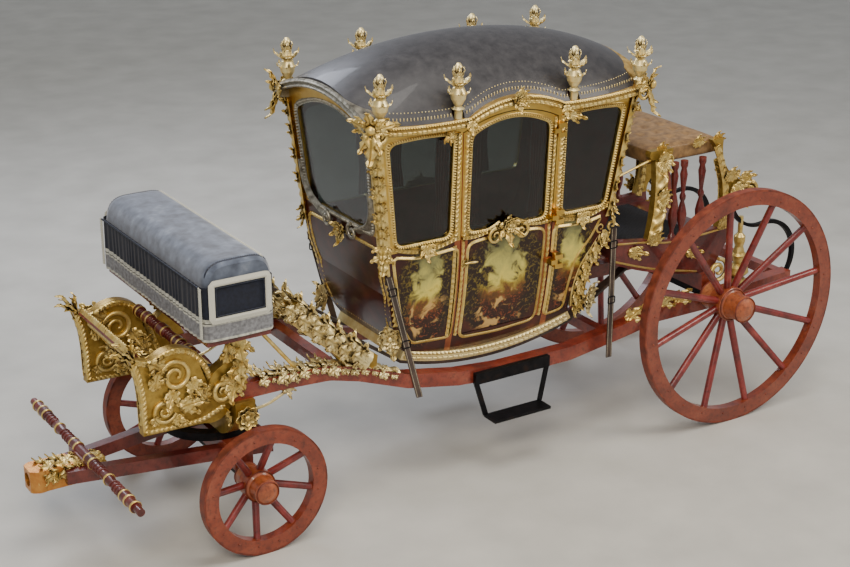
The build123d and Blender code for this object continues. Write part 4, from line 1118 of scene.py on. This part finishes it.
# Off-white wool braid with a 12 mm weave, and dark navy silk piping.
braid, where = new_material("off-white wool braid")
weave = add_node(braid, "ShaderNodeTexWave",
                 {"Vector": where, "Scale": 1000 / 12, "Distortion": 1.0}).outputs["Fac"]
surface(braid, {"Base Color": ramp(braid, weave, (0.2, "#9d9c90"), (0.7, "#d6d5c8")), "Roughness": 0.85,
                "Normal": bump(braid, weave, 0.4, 0.001)})
piping = mottled("dark navy silk piping", 15, 2.0, [(0.3, "#10131d"), (0.7, "#232a3d")], 0.5)


def on_seat_end(x, z, lift):
    """On the seat's left end, clear of the valance's flutes."""
    return Vector((x, seat_high.y + 0.011 + lift, z))


def on_seat_top(x, y, lift):
    """On the roll, found by a line from above."""
    _, place, _, _ = seat.ray_cast(Vector((x, y, 3.0)), down)
    return place + up * (lift - 0.002)


def on_seat_front(y, z, lift):
    """On the seat's front, clear of the valance's flutes."""
    return Vector((seat_high.x + 0.011 + lift, y, z))


def end_square(inset, foot, top, radius):
    """A square line on the seat's end."""
    near, far = seat_high.x - inset, seat_low.x + inset
    return rounded([(far, foot), (near, foot), (near, top), (far, top)], radius)


end_frame = strip(end_square(0.045, 1.53, 1.75, 0.015), ogee, 0.03, 0.038, 0.006, on_seat_end, closed=True,
                  cells=(2, 5))
on_both_sides("hammercloth_frame_left", [end_frame], braid, "coach", "blue_velvet")
rear_x = seat_low.x + 0.055
braid_parts = [strip([(rear_x, -0.70), (rear_x, 0.70)], rope, 0.014, 0.020, 0.012, on_seat_top)]
for y in (0.715, -0.715):
    braid_parts.append(strip([(y, 1.43), (y, valance_top)], rope, 0.014, 0.030, 0.008, on_seat_front))
together("hammercloth_braid", braid_parts, braid, "coach", "blue_velvet")
end_pipe = strip(end_square(0.071, 1.556, 1.724, 0.012), rope, 0.012, 0.008, 0.007, on_seat_end, closed=True,
                 cells=(3, 4))
on_both_sides("hammercloth_end_piping_left", [end_pipe], piping, "coach", "blue_velvet")
pipe_parts = [strip([(-0.70, 1.726), (0.70, 1.726)], rope, 0.014, 0.014, 0.007, on_seat_front)]
for y in (-0.695, 0.695):
    line = [(seat_low.x + 0.03, y), (seat_high.x - 0.03, y)]
    pipe_parts.append(strip(line, rope, 0.014, 0.014, 0.008, on_seat_top))
together("hammercloth_piping", pipe_parts, piping, "coach", "blue_velvet")


# Carving round the driver
# The footboard's side brackets, the consoles and the standards are limewood carved with
# scrolls and acanthus on both faces, and gilded.

def scroll(face, middle_x, middle_z, radius, start, hand, thick):
    """A raised volute on a face."""
    radii = [thick * 0.8, thick, thick * 0.55]
    return volute(face, middle_x, middle_z, radius, 1.6, start, hand, thick * 0.5, radii)


def foliage(face, lift, facing, rows, count, spread, breadth):
    """Fans of leaves on a face. Rows: x, z, degrees up from forward, and size."""
    parts = []
    for x, z, angle, size in rows:
        parts += fan(face(x, z, lift), toward(angle), facing, size, count, spread, breadth)
    return parts


def carved_bracket(face, facing):
    """One face of a footboard bracket: rope edges, two volutes and leaves between them."""
    front = [(2.435, 1.262), (2.405, 1.16), (2.390, 1.03), (2.388, 0.90), (2.385, 0.825)]
    top = [(2.43, 1.264), (2.34, 1.236), (2.25, 1.272), (2.16, 1.277), (2.075, 1.238), (2.005, 1.15),
           (1.960, 1.02), (1.925, 0.925)]
    foot = [(2.385, 0.820), (2.20, 0.812), (2.03, 0.818), (1.89, 0.872)]
    parts = [strip(flowing(front), rope, 0.030, 0.034, 0.016, face),
             strip(flowing(top), husk, 0.032, 0.036, 0.016, face),
             strip(flowing(foot), rope, 0.030, 0.030, 0.016, face),
             scroll(face, 2.19, 1.13, 0.085, 20, 1, 0.016),
             scroll(face, 2.27, 0.93, 0.065, 200, 1, 0.014)]
    rows = [(2.26, 1.18, 40, 0.16), (2.10, 1.08, 240, 0.15), (2.20, 1.04, 300, 0.14), (2.32, 1.08, 100, 0.14),
            (2.16, 0.93, 170, 0.17), (2.30, 0.87, 20, 0.09), (2.04, 0.95, 120, 0.13), (2.22, 0.87, 200, 0.10)]
    return parts + foliage(face, 0.004, facing, rows, 3, 70, 0.9)


front_parts = carved_bracket(on_face(0.470), out) + carved_bracket(on_face(0.405, -1), -out)
# The upturned leaf on the bracket's toe.
for lean, size in ((0.35, 0.17), (0.9, 0.14), (-0.3, 0.13)):
    front_parts += fan(here(2.43, 0.437, 1.27), (lean, 0, 1), (1, 0, -lean), size, 3, 60, 0.9)
# Console: a scroll at its head and foot and leaves down its outer face.
console_face = on_face(0.490)
front_parts += [scroll(console_face, 1.78, 1.32, 0.045, 0, 1, 0.014),
                scroll(console_face, 1.91, 0.97, 0.060, 180, -1, 0.016)]
console_leaves = [(1.80, 1.28, 265, 0.18), (1.79, 1.14, 275, 0.18), (1.83, 1.02, 290, 0.15),
                  (1.88, 1.00, 110, 0.16), (1.86, 1.16, 80, 0.15)]
front_parts += foliage(console_face, 0.004, out, console_leaves, 3, 80, 0.95)
# Transom: a rosette on each end and a spray of leaves across its front.
front_parts += rosette(here(1.783, 0.528, 0.79), out, 0.075, 8)
for y, angle in ((0.10, 10), (0.26, 20), (0.42, 35)):
    front_parts += fan(here(1.850, y, 0.76), toward(angle, across=True), (1, 0, 0), 0.16, 3, 70, 0.95)


def over(name, x, y, lift):
    """On a CAD node's upper side."""
    _, place, _, _ = nodes[name].ray_cast(here(x, y, 2.0), down)
    return place + up * lift


def over_board(y, x, lift):
    """On the footboard's upper side."""
    return over("footboard", x, y, lift)


def before(name, y, z):
    """Where a line from the front first meets a CAD node, and the face's normal there."""
    _, place, normal, _ = nodes[name].ray_cast(here(3.0, y, z), Vector((-1, 0, 0)))
    return place, normal


def before_board(y, z, lift):
    """On the footboard's leaning front."""
    place, normal = before("footboard", y, z)
    return place + normal * lift


def before_bracket(y, z, lift):
    """On the front edge of the left bracket."""
    place, normal = before("footboard_brackets", y, z)
    return place + normal * lift


# Half of the footboard's carved edge and of the gilt frame and leaves on its front.
front_parts.append(strip([(0.004, 2.404), (0.40, 2.404)], rope, 0.030, 0.030, 0.014, over_board))
half_frame = rounded([(0.002, 1.215), (0.355, 1.215), (0.355, 0.945), (0.002, 0.945)], 0.05, closed=False)
front_parts.append(strip(half_frame, husk, 0.030, 0.026, 0.012, before_board))
_, board_out = before("footboard", 0.1, 1.08)
board_up = board_out.cross(out)
for y, z, angle, size in ((0.10, 1.00, 10, 0.13), (0.17, 1.05, 50, 0.13), (0.24, 1.00, -5, 0.10)):
    ahead = out * math.cos(math.radians(angle)) + board_up * math.sin(math.radians(angle))
    front_parts += fan(before_board(y, z, 0.004), ahead, board_out, size, 3, 70, 0.9)
edge_y = 0.4375
front_parts.append(strip([(edge_y, 0.86), (edge_y, 1.23)], husk, 0.052, 0.046, 0.016, before_bracket,
                         cells=(6, 8)))
on_both_sides("driver_carving_left", front_parts, gold, "coach", "gilding")
palmette = fan(before_board(0, 1.02, 0.004), board_up, board_out, 0.19, 7, 170, 0.8, 0.02)
palmette += rosette(before_board(0, 1.01, 0.010), board_out, 0.045)
together("footboard_palmette", palmette, gold, "coach", "gilding")

# Standards: leaves overlap up both faces and along the sloping top.
perch_y = 0.45
standard_parts = []
slab = [(0.93, 0.93), (1.08, 1.05), (1.24, 1.19), (1.40, 1.34)]
for side, face_y in ((1, 0.488), (-1, 0.412)):
    standard_parts.append(strip(flowing(slab), husk, 0.085, 0.13, 0.034, on_face(face_y, side),
                                cells=(8, 10)))
slope = [(0.93, 0.985), (1.02, 1.055), (1.11, 1.135), (1.20, 1.215), (1.29, 1.305), (1.37, 1.385)]
for i, (x, z) in enumerate(slope):
    ahead = Vector((0.75, (-1) ** i * 0.12, 0.66))
    standard_parts += fan(here(x, perch_y, z), ahead, (-0.66, 0, 0.75), 0.19, 3, 80, 0.85)
    for side, face_y in ((1, 0.500), (-1, 0.400)):
        place = here(x + 0.03, face_y, z - 0.05)
        standard_parts += fan(place, (0.75, 0, 0.66), (0, side, 0), 0.17, 3, 70, 0.85)
standard_parts += rosette(here(1.42, 0.502, 1.365), out, 0.055)
standard_parts += fan(here(1.43, perch_y, 1.41), (0.35, 0, 1), (1, 0, -0.35), 0.13, 5, 150, 0.9)


def over_perch(x, y, lift):
    """On the perches' upper side."""
    return over("perches", x, y, lift)


# The perch in front of the body: husks along it, and leaves that lean and hang unevenly.
standard_parts.append(strip([(0.70, perch_y), (1.66, perch_y)], husk, 0.075, 0.080, 0.030, over_perch,
                            cells=(7, 8)))
first_leaf_x, leaf_pitch, perch_leaves = 0.72, 0.068, 14
chance = random.Random(7)
for i in range(perch_leaves):
    x = first_leaf_x + leaf_pitch * i
    lean = (-1) ** i * chance.uniform(0.2, 0.5)
    standard_parts += fan(over_perch(x, perch_y, 0.002), (1, lean, 0.12), (-0.12, 0, 1),
                          chance.uniform(0.11, 0.17), 3, 90, 0.95)
    hang = chance.uniform(0.15, 0.45)
    standard_parts += fan(over_perch(x, 0.484, -0.004), (1, 0.15, -hang), (0.1, 1, 0.35),
                          chance.uniform(0.07, 0.14), 3, 70, 0.9)
# A gilt boss under the perch, with a stay forward to the transom.
_, under_perch, _, _ = nodes["perches"].ray_cast(here(1.47, perch_y, 0.5), up)
standard_parts += set_down(boss, [(under_perch + down * 0.012, (1, 0, 0), out, 0.040, 1)])
standard_parts += fan(under_perch + out * 0.02, (0, 0.1, -1), (0, 1, 0.1), 0.08, 3, 110, 0.9)
stay = [under_perch + down * 0.03, here(1.60, perch_y, 0.80), here(1.722, perch_y, 0.79)]
standard_parts.append(tendril(stay, [0.010, 0.009, 0.010], 4))
on_both_sides("standard_carving_left", standard_parts, pale_gold, "coach", "gilding")


# Turned bars
# The foot rail and the splinter bar are turned ash, painted dark red. Raised bands twist
# round them between gilt rings, and gilt leaves lie on the futchells' tip.

def helix(centre, radius, start, end, pitch, thick):
    """A band twisted round a bar that lies across the coach, ten points a turn."""
    count = int(abs(end - start) / pitch * 10)
    points = []
    for i in range(count + 1):
        angle = 2 * math.pi * i / 10
        y = start + (end - start) * i / count
        points.append(centre + Vector((radius * math.cos(angle), y, radius * math.sin(angle))))
    return tendril(points, [thick, thick], 1)


def ring(centre, radius, segments=24):
    """A turned ring 14 mm wide round a bar that lies across the coach, flat in section."""
    alone()
    bpy.ops.mesh.primitive_torus_add(major_radius=radius, minor_radius=0.014 / 2, major_segments=segments,
                                     minor_segments=8, rotation=(math.pi / 2, 0, 0))
    piece = bpy.context.object
    bpy.ops.object.transform_apply(rotation=True)
    for corner in piece.data.vertices:
        reach = math.hypot(corner.co.x, corner.co.z)
        flat = (radius + 0.55 * (reach - radius)) / reach
        corner.co = Vector((corner.co.x * flat, corner.co.y * 1.25, corner.co.z * flat)) + Vector(centre)
    return piece


def turned_bar(name, body, centre, bands, radius, pitch, thick, ring_radius, ring_places):
    """The twists and rings on both halves of a bar. Bands: each one's inner and outer end."""
    spans = [*bands, *((-end, -start) for start, end in bands)]
    twists = [helix(centre, radius, start, end, pitch, thick) for start, end in spans]
    together(f"{name}_twist", twists, dark_red_paint, body, "red_paint")
    rings = [ring(centre + out * y * side, ring_radius) for y in ring_places for side in (1, -1)]
    together(f"{name}_rings", rings, gold, body, "gilding")


turned_bar("foot_rail", "coach", here(2.050, 0, 1.215), [(0.06, 0.18), (0.26, 0.33)],
           0.027, 0.030, 0.0055, 0.036, (0.035, 0.192, 0.252, 0.345, 0.385))
turned_bar("splinter_bar", "fore_carriage", here(2.600, 0, 0.548), [(0.18, 0.32), (0.47, 0.59)],
           0.029, 0.036, 0.006, 0.035, (0.085, 0.155, 0.395, 0.62, 0.69, 0.78))
tip_parts = []
for side in (1, -1):
    for x, size, top in ((2.50, 0.13, 0.512), (2.59, 0.14, 0.512), (2.68, 0.15, 0.532), (2.77, 0.14, 0.532)):
        upper, lower = here(x, side * 0.032, top), here(x, side * 0.068, 0.49)
        tip_parts += fan(upper, (1, side * 0.1, -0.12), (0, side * 0.2, 1), size, 3, 55, 1.1)
        tip_parts += fan(lower, (1, 0, -0.05), (0, side, 0.2), size * 0.9, 3, 60, 0.9)
    tip_parts.append(volute(on_face(side * 0.072), 2.885, 0.470, 0.036, 1.4, 90, side, 0, [0.010, 0.006]))
together("pole_socket_leaves", tip_parts, gold, "fore_carriage", "gilding")


# Wheels' small ironwork
# Four forged hoops are driven over each turned nave, and bolts hold the tyre to the
# felloes. They are painted with the wheel and turn with it.

for end, bolt_reach, bolt_count in (("rear", 0.764, 24), ("front", 0.346, 16)):
    name, body = f"{end}_wheel_left", f"{end}_left_wheel"
    hub = Vector(middle(f"{end}_tyre_left"))
    low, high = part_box(name)
    hoop_parts = []
    for share in (0.04, 0.30, 0.62, 0.93):
        centre = Vector((hub.x, low.y + (high.y - low.y) * share, hub.z))
        found = []
        for angle in (0.05, 1.6, 3.2, 4.7):
            away = Vector((math.cos(angle), 0, math.sin(angle)))
            hit, place, _, _ = nodes[name].ray_cast(centre + away * 0.19, -away)
            if hit:
                found.append((place - centre).length)
        hoop_parts.append(ring(centre, min(found), 48))
    for i in range(bolt_count):
        away = toward(360 * (i + 0.5) / bolt_count)
        hoop_parts += set_down(boss, [(hub + away * bolt_reach + out * 0.032, (1, 0, 0), out, 0.007, 1)])
    on_both_sides(f"{body}_hoops", hoop_parts, tyre_iron, body, "axle_iron")


# Footmen's stand
# Twisted and leaf-carved posts under a padded brown hide, red side boards lined in gold,
# turned red balusters and a black mat on the board.

def pillow(low, high, cuts, crown, buttons, dent):
    """A stuffed form in a box: a block whose faces swell, edges are pulled in and buttons sink."""
    centre, half = (low + high) / 2, (high - low) / 2
    alone()
    bpy.ops.mesh.primitive_cube_add(size=2)
    piece = bpy.context.object
    bpy.ops.object.mode_set(mode="EDIT")
    bpy.ops.mesh.select_all(action="SELECT")
    bpy.ops.mesh.subdivide(number_cuts=cuts)
    bpy.ops.object.mode_set(mode="OBJECT")
    for corner in piece.data.vertices:
        x, y, z = corner.co
        full = ((1 - x ** 8) * (1 - y ** 8)) ** 0.35
        side = (1 - z ** 4) ** 0.5
        sink = sum(dent * math.exp(-(((x - bx) * half.x) ** 2 + ((y - by) * half.y) ** 2) / 0.0009)
                   for bx, by in buttons) if z > 0.5 else 0.0
        corner.co = centre + Vector((x * (1 - crown + crown * side) * half.x,
                                     y * (1 - crown / 3 + crown / 3 * side) * half.y,
                                     z * (0.72 + 0.28 * full) * half.z - sink))
    return piece


pad_buttons = [(x, y) for x in (-0.5, 0, 0.5) for y in (-0.66, -0.33, 0, 0.33, 0.66)]
stand_pad = pillow(*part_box("stand_top"), 34, 0.05, pad_buttons, 0.014)
stand_pad = together("stand_pad", [stand_pad], brown_hide, "coach", "stand_leather")
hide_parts("stand_top")

stand_face, inner_face = on_face(0.470), on_face(0.420, -1)
front_post = [(-1.292, 1.27), (-1.335, 1.45), (-1.347, 1.60), (-1.345, 1.75)]
rear_post = [(-1.895, 1.27), (-1.925, 1.42), (-1.915, 1.60), (-1.865, 1.76)]
front_full, rear_full = [*front_post, (-1.335, 1.85)], [*rear_post, (-1.815, 1.88)]
stand_parts = [strip(flowing(front_post), husk, 0.060, 0.060, 0.022, inner_face, cells=(6, 8)),
               strip(flowing(rear_post), husk, 0.055, 0.055, 0.022, inner_face, cells=(6, 8)),
               strip(flowing(front_full), rope, 0.090, 0.100, 0.040, stand_face, cells=(9, 10)),
               strip(flowing(rear_full), husk, 0.055, 0.055, 0.022, stand_face, cells=(6, 8)),
               scroll(inner_face, -2.125, 1.51, 0.062, 180, -1, 0.016),
               scroll(stand_face, -2.125, 1.51, 0.062, 180, -1, 0.018),
               scroll(stand_face, -1.40, 1.845, 0.030, 0, 1, 0.010),
               scroll(on_face(0.500), -1.86, 0.98, 0.075, 90, 1, 0.018)]
post_leaves = [(-1.335, 1.85, 90, 0.10), (-1.335, 1.86, 270, 0.13), (-1.29, 1.28, 90, 0.12),
               (-1.345, 1.58, 90, 0.11), (-1.345, 1.60, 270, 0.11), (-1.90, 1.30, 90, 0.12),
               (-1.97, 1.55, 200, 0.13), (-2.04, 1.60, 160, 0.12), (-1.93, 1.62, 100, 0.12),
               (-2.05, 1.47, 180, 0.12)]
inner_leaves = [(-1.345, 1.58, 90, 0.11), (-1.345, 1.60, 270, 0.11), (-1.97, 1.55, 200, 0.11),
                (-2.04, 1.60, 160, 0.11), (-1.93, 1.62, 100, 0.11)]
board_leaves = [(-1.10, 1.25, 190, 0.14), (-1.55, 1.16, 0, 0.13), (-1.60, 1.15, 180, 0.13)]
stand_parts += foliage(stand_face, 0.02, out, post_leaves, 5, 120, 0.9)
stand_parts += foliage(inner_face, 0.01, -out, inner_leaves, 3, 90, 0.9)
stand_parts += foliage(stand_face, 0.004, out, board_leaves, 3, 60, 0.8)
for x in (-1.36, -1.68, -1.85):
    stand_parts += fan(here(x, 0.425, 1.885), up, out, 0.10, 5, 130, 0.95)
# Gilt lines on the side boards, and foliage where the perch climbs to them.
for line in ([(-0.975, 1.325), (-1.24, 1.292), (-1.50, 1.250), (-1.95, 1.270)],
             [(-0.975, 1.205), (-1.20, 1.125), (-1.40, 1.065), (-1.70, 0.995)]):
    stand_parts.append(strip(flowing(line), ogee, 0.05, 0.014, 0.007, stand_face, cells=(2, 5)))
for x in (-1.12, -1.26, -1.40, -1.54):
    stand_parts += fan(over_perch(x, 0.465, 0.0), (-0.7, 0.1, 0.7), (0.2, 1, 0.3), 0.15, 3, 90, 0.9)
on_both_sides("stand_carving_left", stand_parts, gold, "coach", "gilding")

# Turned balusters between the side board and the pad. Rows: height above the foot and radius.
turning = [(0, 0.0), (0, 0.026), (0.03, 0.026), (0.04, 0.016), (0.07, 0.014), (0.12, 0.030),
           (0.17, 0.034), (0.22, 0.024), (0.26, 0.013), (0.28, 0.022), (0.30, 0.022), (0.32, 0.013),
           (0.37, 0.018), (0.45, 0.027), (0.49, 0.018), (0.51, 0.026), (0.545, 0.026), (0.545, 0.0)]


def baluster(foot):
    """A turned upright, closed at both ends."""
    def shape(s, t):
        rise, radius = turning[round(s * (len(turning) - 1))]
        return foot + Vector((radius * math.cos(math.pi * t), radius * math.sin(math.pi * t), rise))
    piece = bent_grid((len(turning) - 1, 16), shape)
    piece.modifiers.new("seam", "WELD").merge_threshold = seam_reach
    apply_all(piece)
    return piece


balusters = [baluster(here(x, side * 0.443, 1.262)) for x in (-1.48, -1.56, -1.72) for side in (1, -1)]
together("stand_balusters", balusters, dark_red_paint, "coach", "red_paint")

mat_front_x, mat_length, mat_width, rib_count, rib_height = -1.06, 0.70, 0.74, 35, 0.0015
board_x, board_z, board_slope = -0.965, 1.2535, 0.0203


def mat_shape(s, t):
    """A ribbed mat on the board, which slopes down to the rear."""
    x = mat_front_x - mat_length * s
    rib = rib_height * math.cos(2 * math.pi * rib_count * s)
    return here(x, mat_width / 2 * t, board_z + board_slope * (x - board_x) + rib)


felt = mottled("black felt mat", 12, 6.0, [(0.3, "#0e0e10"), (0.7, "#26262a")], 0.95)
mat = together("footmen_mat", [grid_form((140, 12), mat_shape, 0.004)], felt, "coach", "strap_leather")


# Leather straps
# Four check straps of harness leather run from the body down to the carriage. They are
# edged with pale linen stitching and closed with iron buckles.

thread = mottled("pale linen stitching", 8, 2.0, [(0.3, "#7d7362"), (0.7, "#b5ab96")], 0.8)
strap_face = on_face(0.504)
stitch_parts, buckle_parts = [], []
strap_ends = [((0.786, 1.455), (0.567, 0.615)), ((-0.935, 1.455), (-0.935, 0.545))]
buckle_corners = [(-0.028, -0.024), (0.028, -0.024), (0.028, 0.024), (-0.028, 0.024)]
for (top_x, top_z), (foot_x, foot_z) in strap_ends:
    for edge in (-0.016, 0.016):
        stitch_parts.append(strip([(top_x + edge, top_z), (foot_x + edge, foot_z)], rope, 0.012, 0.004, 0.002,
                                  strap_face, cells=(3, 4)))
    for share in (0.12, 0.55):
        x, z = top_x + (foot_x - top_x) * share, top_z + (foot_z - top_z) * share
        buckle = rounded([(x + a, z + b) for a, b in buckle_corners], 0.01)
        buckle_parts.append(strip(buckle, rope, 0.012, 0.009, 0.007, strap_face, closed=True, cells=(2, 5)))
on_both_sides("strap_stitching_left", stitch_parts, thread, "coach", "strap_leather")
on_both_sides("strap_buckles_left", buckle_parts, black_iron, "coach", "axle_iron")


# Inside the cabin
# Two stuffed benches in crimson velvet, buttoned, and gathered crimson silk curtains
# at the windows.

cabin_middle = here(0, 0, 0).x
bench_buttons = [(x, y) for x in (-0.45, 0.45) for y in (-0.75, -0.45, -0.15, 0.15, 0.45, 0.75)]
bench_parts = []
for end in (1, -1):
    own = [v.co for v in nodes["cushions"].data.vertices if (v.co.x - cabin_middle) * end > 0]
    low = Vector([min(p[i] for p in own) for i in range(3)])
    high = Vector([max(p[i] for p in own) for i in range(3)])
    bench_parts.append(pillow(low, high, 30, 0.06, bench_buttons, 0.012))
bench = together("bench_cushions", bench_parts, crimson, "coach", "red_velvet")
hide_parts("cushions")

curtain_top, curtain_drop, tie_z, fold_count, fold_depth = 2.27, 0.60, 1.85, 5, 0.009
# The silk hangs this far inside the wall's outer face, clear of the glass.
curtain_inset = 0.036 + 0.022


def curtain_form(rear_x, front_x, sign):
    """A folded curtain behind a window, drawn in by its tie."""
    def shape(s, t):
        z = curtain_top - curtain_drop * (1 - t) / 2
        gather = 1 - 0.35 * math.exp(-((z - tie_z) / 0.10) ** 2)
        x = (rear_x + front_x) / 2 + (front_x - rear_x) / 2 * gather * (2 * s - 1)
        fold = fold_depth * math.cos(2 * math.pi * fold_count * s)
        return here(x, sign * (wall_y(z) - curtain_inset + fold), z)
    return grid_form((50, 20), shape, 0.002)


silk = mottled("crimson silk curtain", 30, 5.0, [(0.3, "#7a1714"), (0.7, "#b23a2c")], 0.45,
               {"Sheen Weight": 0.3})
# Columns: name, rear edge, front edge, and what it hangs on.
curtain_rows = [("front_quarter", 0.345, 0.44, "body_side"), ("rear_quarter", -0.58, -0.505, "body_side"),
                ("door_front", 0.10, 0.20, "door"), ("door_rear", -0.36, -0.26, "door")]
for spot, rear_x, front_x, holder in curtain_rows:
    for side, sign in (("left", 1), ("right", -1)):
        body = f"{side}_door" if holder == "door" else "coach"
        curtain = curtain_form(rear_x, front_x, sign)
        curtain = together(f"curtain_{spot}_{side}", [curtain], silk, body, "red_velvet")

for model in (acanthus, petal, boss):
    bpy.data.objects.remove(model)
